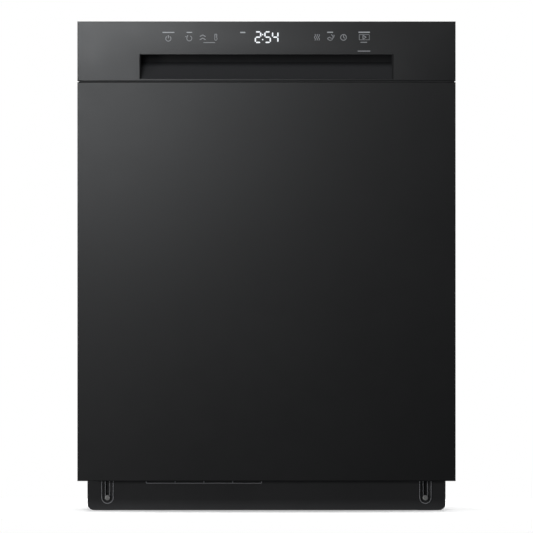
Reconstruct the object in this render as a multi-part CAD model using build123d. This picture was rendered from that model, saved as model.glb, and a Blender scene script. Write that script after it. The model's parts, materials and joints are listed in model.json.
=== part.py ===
"""Built-in dishwasher, 24 inch class, with a pocket handle and front touch controls.

Millimetres, +Z up, the door faces -Y, +X is to the right of a person facing the door.
The origin is at floor level, in the middle of the width and of the depth. Heights below are
measured from the machine's own zero line, and the floor is FLOOR above it with the legs wound in.
"""

import os
from math import cos, radians, sin

from build123d import *

# ---------------------------------------------------------------- driving dimensions
WIDTH = 603.0  # door, side to side
DEPTH = 624.0  # door face to the end of the drain fitting
FLOOR = 4.5  # the surface that the machine stands on, above its zero line
DOOR_TOP = 785.0
DOOR_BOTTOM = 52.0
CONTROL_PANEL_HEIGHT = 95.4
SEAM = 1.6  # gap between the control panel and the door panel
FRONT = -DEPTH / 2
HALF = WIDTH / 2

PANEL_DEPTH = 20.0  # how far the door's outer sheet is folded back
SHEET = 1.2
HINGE_Y = FRONT + 22.0
HINGE_Z = DOOR_BOTTOM + 30.0
DOOR_REAR = FRONT + 54.0  # the plane that closes on the gasket
DOOR_RAISED = FRONT + 68.0  # the pressed-out middle of the inner panel

TUB_FRONT = FRONT + 62.0
TUB_BACK = 262.0
TUB_HALF = 276.0
TUB_FLOOR = 130.0
TUB_TOP = 752.0
TUB_WALL = 1.2
TUB_CORNER = 28.0
TUB_EDGE = 5.0
FLANGE_HALF = 291.0
FLANGE_BOTTOM = 112.0
FLANGE_TOP = 777.0
WASH_Y = 8.0  # the spray arms and the sump share this centre
SUMP_Z = 112.0
BASIN = (450.0, 440.0)  # the sloped middle of the tub floor, across and front to back

KICK_BOTTOM = 5.0
KICK_FRONT = FRONT + 66.0
KICK_THICK = 3.0
KICK_HALF = 286.0
KICK_TRAVEL = 70.0
SLOT_X = 254.0
SLOT_Z = KICK_BOTTOM + 19.7

PAN_HALF = 283.0
PAN_FRONT = -238.0
PAN_REAR = 286.0
PAN_BOTTOM = 22.0
LEG_X = 258.0
LEG_YS = (-205.0, 250.0)
LEG_ROD_R = 5.0
RUNNING = 0.06  # radial clearance of a pin or shaft that turns

# hinges, latch and the screw holes for the cabinets beside and above
HINGE_PIN_R = 5.0
SPRING_X = 293.6
SPRING_START = (SPRING_X, HINGE_Y + 34, HINGE_Z)  # hole in the tail of the hinge arm
SPRING_END = (SPRING_X, -84.0, 59.0)  # post on the bracket
LATCH_Z = 771.0
SIDE_HOLE_ZS = (250.0, 650.0)
SIDE_HOLE_Y = TUB_FRONT + 15.0
SIDE_HOLE_R = 2.6
BRACKET_X = 200.0
BRACKET_HOLE_Y = -238.0
BRACKET_HOLE_R = 2.6

# water system
SUMP_R = 92.0
FILTER_X, FILTER_Y, FILTER_R = 36.0, -28.0, 30.0
FLOAT_X, FLOAT_Y = -232.0, -214.0
PUMP_Z = 66.0
DRAIN_X, DRAIN_Z, DRAIN_PIN_R = -150.0, 62.0, 9.5
INLET_X, INLET_Z, INLET_R = -205.0, 58.0, 13.0
ENTRY_X, ENTRY_Z, ENTRY_R = 193.0, 48.0, 11.0
ARM2_Z = 436.0
DUCT_X = 20.0
DUCT_Y = (244.0, TUB_BACK - 0.4)

# door
PANEL_TOP = DOOR_TOP - CONTROL_PANEL_HEIGHT - SEAM
WINDOW_HALF = 200.0
WINDOW_Z = (693.0, 731.3)
POCKET_TOP = 741.0
POCKET_BACK = FRONT + 40.0
FASCIA = 3.0
NOTCH_X = (277.0, 296.0)
RAISED_X = 268.0
RAISED_Z = (138.0, 740.0)
DISPENSER_X = (-108.0, 108.0)
DISPENSER_Z = (398.0, 546.0)
CUP_X = (-98.0, -18.0)
CUP_Z = (450.0, 530.0)
RINSE_X, RINSE_Z = 58.0, 422.0

# racks
WIRE_R = 2.0
RIM_R = 2.7
WELD = 3.4  # centre distance of two wires welded across each other
LOWER_X = 248.0
LOWER_Y = (-196.0, 232.0)  # floor of the basket, front to back
LOWER_FLOOR = 172.0
LOWER_RIM = 296.0
LOWER_LEAN = 30.0  # the front leans out by this much at the rim
WHEEL_R = 18.0
WHEEL_Z = TUB_FLOOR + WHEEL_R + 0.3
WHEEL_YS = (-26.0, 190.0)
WHEEL_X = (258.0, 269.0)
AXLE_R = 3.0
TINE_XS = [-210 + i * 35 for i in range(13)]
FIXED_TINE_Y = 168.0
TINE_BAR_Z = LOWER_FLOOR + WELD + 7.0
TINE_YS = (-56.0, 48.0)
TINE_HEIGHT = 84.0
TINE_BAR_R = 2.4
UPPER_X = 224.0
UPPER_Y = (-214.0, 196.0)
UPPER_FLOOR = 472.0
UPPER_RIM = 566.0
UPPER_TINE_XS = (-96.0, 0.0, 96.0)
RAIL_Y = (-236.0, 236.0)
RAIL_Z = 515.0
SHELF_X, SHELF_Z = 212.0, 548.0
SHELF_EYE_YS = (-156.0, 156.0)
SHELF_ROD_R = 3.2


# ---------------------------------------------------------------- helpers
def block(x, y, z):
    """A box from three (low, high) pairs."""
    size = [high - low for low, high in (x, y, z)]
    middle = [(high + low) / 2 for low, high in (x, y, z)]
    return Pos(*middle) * Box(*size)


def rod(start, end, radius):
    """A round bar between two points."""
    start = Vector(*start)
    line = Vector(*end) - start
    plane = Plane(origin=start, z_dir=line)
    return plane * Cylinder(radius, line.length, align=(Align.CENTER, Align.CENTER, Align.MIN))


def ring(start, end, outer, inner):
    """A round tube between two points."""
    return rod(start, end, outer) - rod(start, end, inner)


def wire(points, radius, bend):
    """A bent round bar through points, with the same bend radius at each corner."""
    path = FilletPolyline(*points, radius=bend) if len(points) > 2 else Line(*points)
    return sweep(Plane(origin=path @ 0, z_dir=path % 0) * Circle(radius), path)


def straight_runs(points, radius, closed=False):
    """The straight runs of a bent round bar. Each runs on a little, into its neighbours."""
    ends = points[1:] + points[:1] if closed else points[1:]
    runs = []
    for start, end in zip(points, ends):
        along = (Vector(*end) - Vector(*start)).normalized() * (radius * 0.4)
        runs.append(rod(Vector(*start) - along, Vector(*end) + along, radius))
    return runs


def level_loop(x, y, z, radius, corner):
    """A closed, level loop of round bar, with its corners cut at 45 degrees."""
    (x0, x1), (y0, y1), c = x, y, corner
    points = [(x0 + c, y0, z), (x1 - c, y0, z), (x1, y0 + c, z), (x1, y1 - c, z)]
    points += [(x1 - c, y1, z), (x0 + c, y1, z), (x0, y1 - c, z), (x0, y0 + c, z)]
    return straight_runs(points, radius, closed=True)


def profile_x(points, x):
    """A (y, z) outline drawn out along X between the two x values."""
    face = make_face(Polyline(*[(x[0], py, pz) for py, pz in points], close=True))
    return extrude(face, amount=x[1] - x[0], dir=(1, 0, 0))


def both_sides(solid):
    """The solid and its mirror image across the middle of the machine."""
    return Compound(children=[solid, mirror(solid, about=Plane.YZ)])


def group(solids):
    """Separate solids that share one node."""
    return Compound(children=list(solids))


def cut(solids, *planes):
    """The separate pieces that solids make when they are cut along planes."""
    for plane in planes:
        solids = [piece for solid in solids for piece in split(solid, plane, keep=Keep.BOTH).solids()]
    return solids


def across(x):
    """A plane square to the X axis."""
    return Plane(origin=(x, 0, 0), z_dir=(1, 0, 0))


def upright(y):
    """A plane square to the Y axis."""
    return Plane(origin=(0, y, 0), z_dir=(0, 1, 0))


def level(z):
    """A plane square to the Z axis."""
    return Plane(origin=(0, 0, z))


def wall_strips(x, y, z, windows):
    """An upright wall along X in strips round its windows, given from left to right."""
    strips = []
    left = x[0]
    for (x0, x1), (z0, z1) in windows:
        strips += [block((left, x0), y, z), block((x0, x1), y, (z[0], z0)), block((x0, x1), y, (z1, z[1]))]
        left = x1
    return strips + [block((left, x[1]), y, z)]


def front_edges(solid):
    return solid.faces().sort_by(Axis.Y)[0].edges()


def folded_tray(x, z, depth, front, wall, edge):
    """A sheet with its four sides folded back from the door's face."""
    outer = block(x, (FRONT, FRONT + depth), z)
    outer = fillet(front_edges(outer), edge)
    hollow = block(
        (x[0] + wall, x[1] - wall), (FRONT + front, FRONT + depth + 1), (z[0] + wall, z[1] - wall)
    )
    return outer - hollow


# ---------------------------------------------------------------- base and cabinet
def base_pan():
    """Base that catches leaks and carries the tub, the pumps and the legs. It is a floor, a low sill
    in front, walls at the sides and back, and a boss and ribs at the legs, welded face to face."""
    wall, floor_top, top = 3.0, PAN_BOTTOM + 3.0, TUB_FLOOR - TUB_WALL - 0.4
    notch_y, notch_z = (-40.0, -18.0), 94.0  # way out for the water tube
    front = (PAN_FRONT, PAN_FRONT + wall)
    rear = (PAN_REAR - wall, PAN_REAR)
    left = (-PAN_HALF, -PAN_HALF + wall)
    right = (PAN_HALF - wall, PAN_HALF)
    floor = block((-PAN_HALF, PAN_HALF), (PAN_FRONT, PAN_REAR), (PAN_BOTTOM, floor_top))
    walls = [block((-PAN_HALF + 12, PAN_HALF - 12), front, (floor_top, 46))]
    walls.append(block((-PAN_HALF, -PAN_HALF + 12), front, (floor_top, top)))
    walls.append(block((PAN_HALF - 12, PAN_HALF), front, (floor_top, top)))
    walls.append(block(right, (front[1], rear[0]), (floor_top, top)))
    walls.append(block(left, (front[1], notch_y[0]), (floor_top, top)))
    walls.append(block(left, notch_y, (floor_top, notch_z)))
    walls.append(block(left, (notch_y[1], rear[0]), (floor_top, top)))
    # ways in at the back for the water hose and the supply cable
    windows = [((x - 24, x + 24), (PAN_BOTTOM + 6, 86)) for x in (INLET_X, ENTRY_X)]
    drain_hole = rod((DRAIN_X, rear[0] - 1, DRAIN_Z), (DRAIN_X, rear[1] + 1, DRAIN_Z), 13)
    strips = wall_strips((-PAN_HALF, PAN_HALF), rear, (floor_top, top), windows)
    walls += [strip - drain_hole for strip in strips]
    for x in (-LEG_X, LEG_X):
        for y in LEG_YS:
            floor -= rod((x, y, PAN_BOTTOM - 1), (x, y, floor_top + 1), LEG_ROD_R + RUNNING)
            walls.append(ring((x, y, floor_top), (x, y, 88), 14, LEG_ROD_R + RUNNING))
    for y in (-60.0, 60.0, 180.0):
        walls.append(block((left[1], -PAN_HALF + 22), (y, y + 3), (floor_top, 60)))
        walls.append(block((PAN_HALF - 22, right[0]), (y, y + 3), (floor_top, 60)))
    return group([floor] + walls)


def frustum(drop):
    """The sloped middle of the tub floor, shifted down by drop."""
    top = Plane(origin=(0, WASH_Y, TUB_FLOOR - drop)) * RectangleRounded(*BASIN, 60)
    bottom = Plane(origin=(0, WASH_Y, SUMP_Z - drop)) * RectangleRounded(214, 214, 50)
    return loft([top.face(), bottom.face()])


def tub_box(grow):
    """The tub's inside, or its outside when grown by the wall."""
    box = block(
        (-TUB_HALF - grow, TUB_HALF + grow), (TUB_FRONT, TUB_BACK + grow), (TUB_FLOOR - grow, TUB_TOP + grow)
    )
    box = fillet(box.edges().filter_by(Axis.Y).group_by(Axis.Z)[-1], TUB_CORNER + grow)
    box = fillet(box.edges().filter_by(Axis.Y).group_by(Axis.Z)[0], TUB_EDGE + grow)
    return fillet(box.faces().sort_by(Axis.Y)[-1].edges(), TUB_EDGE + grow)


def tub():
    """Stainless wash chamber, open at the front. Its sides, ceiling, back and floor are sheets that
    meet edge to edge, with a flat flange for the gasket and the latch's tongue on top of it."""
    side, ceiling, rear = TUB_HALF - TUB_CORNER, TUB_TOP - TUB_CORNER, TUB_BACK - TUB_EDGE
    inside = tub_box(0) + Pos(0, -1, 0) * tub_box(0)
    front = (TUB_FRONT, TUB_FRONT + TUB_WALL)
    flange = block((-FLANGE_HALF, FLANGE_HALF), front, (FLANGE_BOTTOM, FLANGE_TOP)) - inside
    shell = tub_box(TUB_WALL) + frustum(TUB_WALL) - inside - frustum(0)
    shell -= rod((0, WASH_Y, 90), (0, WASH_Y, 120), SUMP_R)
    shell -= rod((FLOAT_X, FLOAT_Y, 120), (FLOAT_X, FLOAT_Y, 140), 4.5)
    shell -= block((-HALF, HALF), (TUB_FRONT - 1, front[1]), (SUMP_Z - 10, DOOR_TOP))
    low = block((-HALF, HALF), (FRONT, -FRONT), (SUMP_Z - 10, TUB_FLOOR))
    behind = block((-HALF, HALF), (rear, -FRONT), (TUB_FLOOR, DOOR_TOP))
    basin = Pos(0, WASH_Y, TUB_FLOOR) * Box(*BASIN, 80, align=(Align.CENTER, Align.CENTER, Align.MAX))
    hole = SUMP_R - 2
    sheets = cut([flange], across(-side), across(side), level(ceiling), level(TUB_FLOOR))
    sheets += cut([shell - low - behind], across(-side), across(side), level(ceiling))
    sheets += [shell & behind, strike()]
    # the floor's flat margin, and the slopes down to the sump
    sheets += cut([(shell & low) - basin], across(-BASIN[0] / 2), across(BASIN[0] / 2))
    sheets += cut([shell & basin], across(-hole), across(hole), *map(upright, (WASH_Y - hole, WASH_Y + hole)))
    return group(sheets)


def tub_insulation():
    """Felt and bitumen blanket: one piece over both sides and the top, one on the back."""
    gap, thick = TUB_WALL + 0.3, 7.0
    y = (-212.0, 255.0)
    outer = block(
        (-TUB_HALF - gap - thick, TUB_HALF + gap + thick), y, (TUB_FLOOR + 6, TUB_TOP + gap + thick)
    )
    outer = fillet(outer.edges().filter_by(Axis.Y).group_by(Axis.Z)[-1], TUB_CORNER + gap + thick)
    inner = block((-TUB_HALF - gap, TUB_HALF + gap), (y[0] - 1, y[1] + 1), (TUB_FLOOR, TUB_TOP + gap))
    inner = fillet(inner.edges().filter_by(Axis.Y).group_by(Axis.Z)[-1], TUB_CORNER + gap)
    rear_y = (TUB_BACK + gap, TUB_BACK + gap + thick)
    rear = block((-TUB_HALF + 12, TUB_HALF - 12), rear_y, (TUB_FLOOR + 12, TUB_TOP - 12))
    rear = fillet(rear.edges().filter_by(Axis.Y), 20)
    return group([outer - inner, rear])


def frame_posts():
    """Folded steel posts beside the tub, drilled for screws into the next cabinet."""
    z = (104.0, 775.0)
    post = block((286, 298), (TUB_FRONT + 1.5, TUB_FRONT + 3.0), z)
    post += block((296.5, 298), (TUB_FRONT + 1.5, TUB_FRONT + 26), z)
    for height in SIDE_HOLE_ZS:
        post -= rod((290, SIDE_HOLE_Y, height), (300, SIDE_HOLE_Y, height), SIDE_HOLE_R)
    return both_sides(post)


def countertop_brackets():
    """Two angle brackets on the tub's top edge, each with two screw holes."""
    plate = block((170, 230), (TUB_FRONT, -215), (777.4, 779.0))
    plate += block((170, 230), (-216.6, -215), (762.5, 777.4))
    plate = fillet(plate.edges().filter_by(Axis.Z).group_by(Axis.Y)[0], 6)
    for x in (BRACKET_X - 15, BRACKET_X + 15):
        plate -= rod((x, BRACKET_HOLE_Y, 770), (x, BRACKET_HOLE_Y, 785), BRACKET_HOLE_R)
    return both_sides(plate)


def access_panel():
    """Fixed steel panel behind the kick plate."""
    panel = block((-281, 281), (KICK_FRONT + 4.0, KICK_FRONT + 5.5), (26, 106))
    panel += block((-281, 281), (KICK_FRONT + 5.5, KICK_FRONT + 7.5), (104.5, 106))
    for x in (-SLOT_X, SLOT_X):
        panel -= rod((x, KICK_FRONT, SLOT_Z), (x, KICK_FRONT + 9, SLOT_Z), 2.1)
        panel += ring((x, KICK_FRONT + 5.5, SLOT_Z), (x, KICK_FRONT + 7.5, SLOT_Z), 4.2, 2.1)
    return panel


def slot_shape(width, y, top=KICK_TRAVEL):
    """An upright slot with round ends, from the screw's height upwards."""
    height = top + width
    middle = SLOT_Z + top / 2
    plane = Plane(origin=(0, y[0], middle), x_dir=(1, 0, 0), z_dir=(0, -1, 0))
    sketch = plane * SlotOverall(height, width, 90)
    return extrude(sketch.face(), amount=y[1] - y[0], dir=(0, 1, 0))


def kick_plate():
    """Toe board that slides down over the access panel, on two screws in slots."""
    y = (KICK_FRONT, KICK_FRONT + KICK_THICK)
    plate = block((-KICK_HALF, KICK_HALF), y, (KICK_BOTTOM, 60))
    plate = fillet(plate.edges().filter_by(Axis.Y).group_by(Axis.Z)[0], 10)
    plate += block((-281, 281), y, (59, 108))
    rim = slot_shape(19.4, (KICK_FRONT - 0.7, KICK_FRONT + 1))
    rim -= slot_shape(17, (KICK_FRONT - 1, KICK_FRONT + 2))
    recess = slot_shape(17, (KICK_FRONT - 1, KICK_FRONT + 1.5))
    narrow_rim = slot_shape(8.4, (KICK_FRONT + 0.7, KICK_FRONT + 1.6))
    through = slot_shape(5.6, (KICK_FRONT - 2, KICK_FRONT + 5))
    above = block((-30, 30), (KICK_FRONT - 3, KICK_FRONT + 5), (108, 140))
    for x in (-SLOT_X, SLOT_X):
        plate += Pos(x, 0, 0) * (rim - above)
        plate -= Pos(x, 0, 0) * recess
        plate += Pos(x, 0, 0) * (narrow_rim - above)
        plate -= Pos(x, 0, 0) * through
    cell, pitch = 43.6, 46.0
    for i in range(4):
        x = -192 + i * pitch + 1.2
        window = block((x, x + cell), (KICK_FRONT - 1, KICK_FRONT + 1.2), (48.4, 86))
        plate -= fillet(window.edges().filter_by(Axis.Y), 3)
    return plate


def kick_plate_screws():
    """Two pan-head screws that clamp the kick plate to the access panel."""
    screws = []
    for x in (-SLOT_X, SLOT_X):
        head = rod((x, KICK_FRONT - 1.4, SLOT_Z), (x, KICK_FRONT + 0.6, SLOT_Z), 4.3)
        head = fillet(front_edges(head), 1.2)
        cross = block((x - 2.4, x + 2.4), (KICK_FRONT - 2, KICK_FRONT - 0.3), (SLOT_Z - 0.45, SLOT_Z + 0.45))
        cross += block((x - 0.45, x + 0.45), (KICK_FRONT - 2, KICK_FRONT - 0.3), (SLOT_Z - 2.4, SLOT_Z + 2.4))
        screws.append(head + rod((x, KICK_FRONT + 0.5, SLOT_Z), (x, PAN_FRONT - 0.3, SLOT_Z), 2.0) - cross)
    return group(screws)


def leg(x, y):
    """Levelling leg: threaded rod, hexagon for the spanner and a round foot."""
    foot = fillet(rod((x, y, FLOOR), (x, y, 12), 19).edges().group_by(Axis.Z)[-1], 3)
    hexagon = extrude(Plane(origin=(x, y, 12)) * RegularPolygon(12.5, 6), amount=8.5)
    stem = chamfer(rod((x, y, 19), (x, y, 118), LEG_ROD_R).edges().group_by(Axis.Z)[-1], 1.2)
    return foot + hexagon + stem


def hinge_brackets():
    """Steel plates on the base's front corners, with the pins that the door turns on."""
    plate = block((PAN_HALF + 0.2, PAN_HALF + 3.2), (HINGE_Y, -170), (HINGE_Z - 12, HINGE_Z + 12))
    plate += rod((PAN_HALF + 0.2, HINGE_Y, HINGE_Z), (PAN_HALF + 3.2, HINGE_Y, HINGE_Z), 12)
    plate += block((PAN_HALF + 0.2, PAN_HALF + 3.2), (-232, -170), (40, HINGE_Z))
    plate += rod((PAN_HALF + 3.0, HINGE_Y, HINGE_Z), (293.6, HINGE_Y, HINGE_Z), HINGE_PIN_R)
    plate += rod((292.2, HINGE_Y, HINGE_Z), (293.8, HINGE_Y, HINGE_Z), 7.5)
    plate += rod((PAN_HALF + 3.0, SPRING_END[1], SPRING_END[2]), (296, SPRING_END[1], SPRING_END[2]), 2.5)
    plate += block((PAN_HALF + 0.2, PAN_HALF + 3.2), (-172, SPRING_END[1] + 8), (46, 68))
    return both_sides(plate)


def door_springs():
    """Extension springs that balance the door: a coil with a hook and a loop at its ends."""
    a, b = Vector(*SPRING_START), Vector(*SPRING_END)
    along = (b - a).normalized()
    coil_start, coil_end = a + along * 26, b - along * 18
    turns, coil_r, wire_r = 30, 5.4, 1.1
    pitch = (coil_end - coil_start).length / turns
    spring = rod(coil_start, coil_end, coil_r - 0.3)
    spring -= rod(coil_start + along * 3, coil_end - along * 3, coil_r - 1.6)
    for i in range(turns):
        middle = coil_start + along * (pitch * (i + 0.5))
        spring += Plane(origin=middle, z_dir=along) * Torus(coil_r, wire_r)
    hook_in = a - Vector(7, 0, 0)
    spring += wire([tuple(coil_start + along * 2), tuple(a), tuple(hook_in)], wire_r, 2)
    loop_r = 4.0
    spring += Plane(origin=b, z_dir=(1, 0, 0)) * Torus(loop_r, wire_r)
    spring += rod(coil_end - along * 2, b - along * (loop_r - 0.4), wire_r)
    return both_sides(spring)


def door_gasket():
    """Hollow-lipped rubber seal round the opening, and the sealing strip on the sill."""
    y = (DOOR_REAR + 0.3, TUB_FRONT - 0.1)
    outer = block((-289, 289), y, (TUB_FLOOR + 4, TUB_TOP + 13))
    outer = fillet(outer.edges().filter_by(Axis.Y).group_by(Axis.Z)[-1], 38)
    inner = block((-278, 278), (y[0] - 1, y[1] + 1), (TUB_FLOOR, TUB_TOP + 2))
    inner = fillet(inner.edges().filter_by(Axis.Y).group_by(Axis.Z)[-1], 27)
    seal = outer - inner
    groove = fillet(
        block((-285.5, 285.5), (y[0] - 1, y[0] + 2.2), (TUB_FLOOR, TUB_TOP + 9.5))
        .edges()
        .filter_by(Axis.Y)
        .group_by(Axis.Z)[-1],
        34.5,
    )
    groove -= fillet(
        block((-281.5, 281.5), (y[0] - 2, y[1] + 1), (TUB_FLOOR - 1, TUB_TOP + 5.5))
        .edges()
        .filter_by(Axis.Y)
        .group_by(Axis.Z)[-1],
        30.5,
    )
    strip = block((-272, 272), y, (114.5, 127.5))
    strip = fillet(strip.edges().filter_by(Axis.X).group_by(Axis.Y)[0], 2.5)
    return group([seal - groove, strip])


def strike():
    """Tongue welded to the tub's top edge, which the door's latch closes on."""
    plate = block((-18, 18), (TUB_FRONT - 2.2, TUB_FRONT + 0.2), (767, 776.5))
    tongue = block((-9, 9), (-279, TUB_FRONT - 2), (LATCH_Z - 2, LATCH_Z + 2))
    return plate + fillet(tongue.edges().filter_by(Axis.Z).group_by(Axis.Y)[0], 4)


# ---------------------------------------------------------------- water system
def sump():
    """Plastic bowl under the tub floor, with the post that the lower spray arm turns on."""
    bowl = rod((0, WASH_Y, 36), (0, WASH_Y, SUMP_Z - 1.4), SUMP_R - 1)
    bowl += rod((0, WASH_Y, SUMP_Z - 5), (0, WASH_Y, SUMP_Z - 1.4), SUMP_R + 10)
    bowl -= rod((0, WASH_Y, 39), (0, WASH_Y, SUMP_Z), SUMP_R - 4)
    bowl += rod((0, WASH_Y, 38), (0, WASH_Y, 134), 12) - rod((0, WASH_Y, 50), (0, WASH_Y, 140), 9)
    port = rod((0, 90, 66), (0, 112, 66), 17)
    bowl += port - rod((0, WASH_Y, 66), (0, WASH_Y + 50, 66), 40)
    bowl -= rod((0, 80, 66), (0, 114, 66), 14)
    bowl += rod((-80, WASH_Y, 62), (-104, WASH_Y, 62), 13)
    bowl -= rod((-60, WASH_Y, 62), (-106, WASH_Y, 62), 10)
    return bowl


def filter_plate():
    """Flat fine filter over the bowl, with openings for the post and the round filter."""
    plate = rod((0, WASH_Y, SUMP_Z - 1.2), (0, WASH_Y, SUMP_Z + 1.2), SUMP_R - 1)
    plate -= rod((0, WASH_Y, 100), (0, WASH_Y, 120), 13)
    plate -= rod((FILTER_X, FILTER_Y, 100), (FILTER_X, FILTER_Y, 120), FILTER_R + 0.4)
    for row in range(-5, 6):
        for column in range(-5, 6):
            x, y = column * 15.0 + (row % 2) * 7.5, WASH_Y + row * 13.0
            near_post = (x**2 + (y - WASH_Y) ** 2) ** 0.5
            near_filter = ((x - FILTER_X) ** 2 + (y - FILTER_Y) ** 2) ** 0.5
            if 20 < near_post < 82 and near_filter > FILTER_R + 8:
                plate -= rod((x, y, 100), (x, y, 120), 3.2)
    return plate


def cylinder_filter():
    """Removable round filter: a grip on top, a collar and a barrel with windows."""
    bottom = 50.0
    body = rod((FILTER_X, FILTER_Y, bottom), (FILTER_X, FILTER_Y, SUMP_Z + 1.4), FILTER_R)
    body -= rod((FILTER_X, FILTER_Y, bottom + 3), (FILTER_X, FILTER_Y, SUMP_Z + 2), FILTER_R - 2.5)
    slot = block((20, 34), (-6, 6), (bottom + 8, SUMP_Z - 8))
    for i in range(8):
        body -= Pos(FILTER_X, FILTER_Y, 0) * Rot(0, 0, i * 45) * slot
    collar = [(FILTER_X, FILTER_Y, SUMP_Z + z) for z in (1.4, 4)]
    body += ring(*collar, FILTER_R + 3, FILTER_R - 4)
    grip = block((FILTER_X - 27, FILTER_X + 27), (FILTER_Y - 3.5, FILTER_Y + 3.5), (SUMP_Z - 6, SUMP_Z + 4))
    return body + grip


def wash_pump_housing():
    """Volute of the wash pump, with its inlet collar and its outlet up to the feed duct."""
    shell = rod((0, 113, PUMP_Z), (0, 143, PUMP_Z), 38) - rod((0, 116, PUMP_Z), (0, 140, PUMP_Z), 34)
    shell -= rod((0, 112, PUMP_Z), (0, 118, PUMP_Z), 14)
    shell -= rod((0, 138, PUMP_Z), (0, 144, PUMP_Z), 5.2)
    neck = rod((30, 128, PUMP_Z), (66, 128, PUMP_Z), 11)
    neck += Pos(66, 128, PUMP_Z) * Sphere(11)
    neck += rod((66, 128, PUMP_Z), (66, 246, PUMP_Z), 11)
    shell += neck - rod((0, 100, PUMP_Z), (0, 160, PUMP_Z), 36)
    shell -= rod((26, 128, PUMP_Z), (66, 128, PUMP_Z), 8.5) + rod((66, 128, PUMP_Z), (66, 247, PUMP_Z), 8.5)
    return shell


def wash_pump_motor():
    """Brushless motor that drives the impeller."""
    body = rod((0, 143.4, PUMP_Z), (0, 232, PUMP_Z), 34)
    body = fillet(body.edges().group_by(Axis.Y)[-1], 4)
    for i in range(12):
        fin = Pos(0, 0, PUMP_Z) * Rot(0, i * 30, 0) * block((32, 36), (152, 222), (-1.2, 1.2))
        body += fin
    return body - rod((0, 142, PUMP_Z), (0, 176, PUMP_Z), 5.2)


def wash_impeller():
    """Impeller with its shaft."""
    hub = rod((0, 119, PUMP_Z), (0, 137, PUMP_Z), 10) + rod((0, 133, PUMP_Z), (0, 137, PUMP_Z), 30)
    hub += rod((0, 134, PUMP_Z), (0, 172, PUMP_Z), 5.2 - RUNNING)
    for i in range(6):
        hub += Pos(0, 0, PUMP_Z) * Rot(0, i * 60, 0) * block((8, 29), (121, 134), (-1.5, 1.5))
    return hub


def drain_pump():
    """Small pump on the side of the bowl."""
    x = -104.5
    body = rod((x, WASH_Y, 62), (x - 22, WASH_Y, 62), 26)
    body += rod((x - 22, WASH_Y, 62), (x - 70, WASH_Y, 62), 20)
    body += block((x - 64, x - 28), (WASH_Y - 16, WASH_Y + 16), (76, 90))
    body += rod((x - 11, WASH_Y + 20, 62), (x - 11, WASH_Y + 44, 62), 9)
    return body - rod((x - 11, WASH_Y + 10, 62), (x - 11, WASH_Y + 45, 62), 6.5)


def drain_hose():
    """Hose inside the base, from the drain pump to the fitting at the back."""
    x, z = -115.5, 62.0
    points = [(x, WASH_Y + 44.3, z), (x, 104, z), (DRAIN_X, 168, z), (DRAIN_X, 262, z)]
    path = FilletPolyline(*points, radius=60)
    start = Plane(origin=path @ 0, z_dir=path % 0)
    return sweep(start * (Circle(9) - Circle(6.5)), path)


def drain_outlet():
    """Hose fitting through the back of the base, with a barbed spigot outside."""
    y0, y1 = 262.3, DEPTH / 2
    body = rod((DRAIN_X, y0, DRAIN_Z), (DRAIN_X, y1, DRAIN_Z), DRAIN_PIN_R)
    body += rod((DRAIN_X, PAN_REAR - 6, DRAIN_Z), (DRAIN_X, PAN_REAR - 3.3, DRAIN_Z), 17)
    body += rod((DRAIN_X, PAN_REAR - 6, DRAIN_Z), (DRAIN_X, PAN_REAR + 1.6, DRAIN_Z), 12.6)
    return body - rod((DRAIN_X, y0 - 1, DRAIN_Z), (DRAIN_X, y1 + 1, DRAIN_Z), 7)


def inlet_valve():
    """Electric water valve with a threaded port that faces the back."""
    body = block((INLET_X - 18, INLET_X + 18), (-222, -182), (40, 76))
    body += rod((INLET_X, -184, INLET_Z), (INLET_X, -166, INLET_Z), INLET_R)
    body -= rod((INLET_X, -190, INLET_Z), (INLET_X, -165, INLET_Z), 9)
    body += rod((INLET_X, -202, 75), (INLET_X, -202, 96), 12)
    body += rod((INLET_X + 18, -202, 64), (INLET_X + 32, -202, 64), 5)
    body += block((INLET_X - 24, INLET_X + 24), (-222, -218), (PAN_BOTTOM + 3.4, 44))
    return body


def fill_hose():
    """Hose from the inlet valve to the air break on the left side."""
    x0 = INLET_X + 32.4
    points = [(x0, -202, 64), (-150, -202, 64), (-150, -160, 102), (-210, -70, 104), (-252, -29, 106)]
    points += [(-291.6, -29, 106), (-291.6, -29, 199.6)]
    path = FilletPolyline(*points, radius=9)
    start = Plane(origin=path @ 0, z_dir=path % 0)
    return sweep(start * (Circle(4.5) - Circle(3)), path)


def air_break():
    """Flat moulded chamber that fills the machine and keeps the supply apart from the drain."""
    body = block((-298, -286.6), (-90, 110), (200, 430))
    body = fillet(body.edges().filter_by(Axis.X), 16)
    for z in (236, 272, 308, 344, 380):
        body += block((-299.4, -297.5), (-74, 70), (z, z + 4))
    return body


def junction_box():
    """Steel box for the supply wires, with a round entry in its back wall and a screwed front."""
    x, y, z = (150.0, 236.0), (-226.0, -160.0), (PAN_BOTTOM + 3.4, 72.0)
    wall = 1.5
    inner_y, inner_z = (y[0] + wall, y[1] - wall), (z[0] + wall, z[1] - wall)
    back = block(x, (y[1] - wall, y[1]), z)
    back -= rod((ENTRY_X, y[1] - 3, ENTRY_Z), (ENTRY_X, y[1] + 2, ENTRY_Z), ENTRY_R)
    sheets = [back, block(x, (y[0], inner_y[0]), z)]
    sheets += [block(x, inner_y, (z[0], inner_z[0])), block(x, inner_y, (inner_z[1], z[1]))]
    sheets += [block((x[0], x[0] + wall), inner_y, inner_z), block((x[1] - wall, x[1]), inner_y, inner_z)]
    for screw_x in (x[0] + 8, x[1] - 8):
        sheets.append(rod((screw_x, y[0] - 1.6, z[1] - 8), (screw_x, y[0], z[1] - 8), 3.5))
    return group(sheets)


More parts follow.
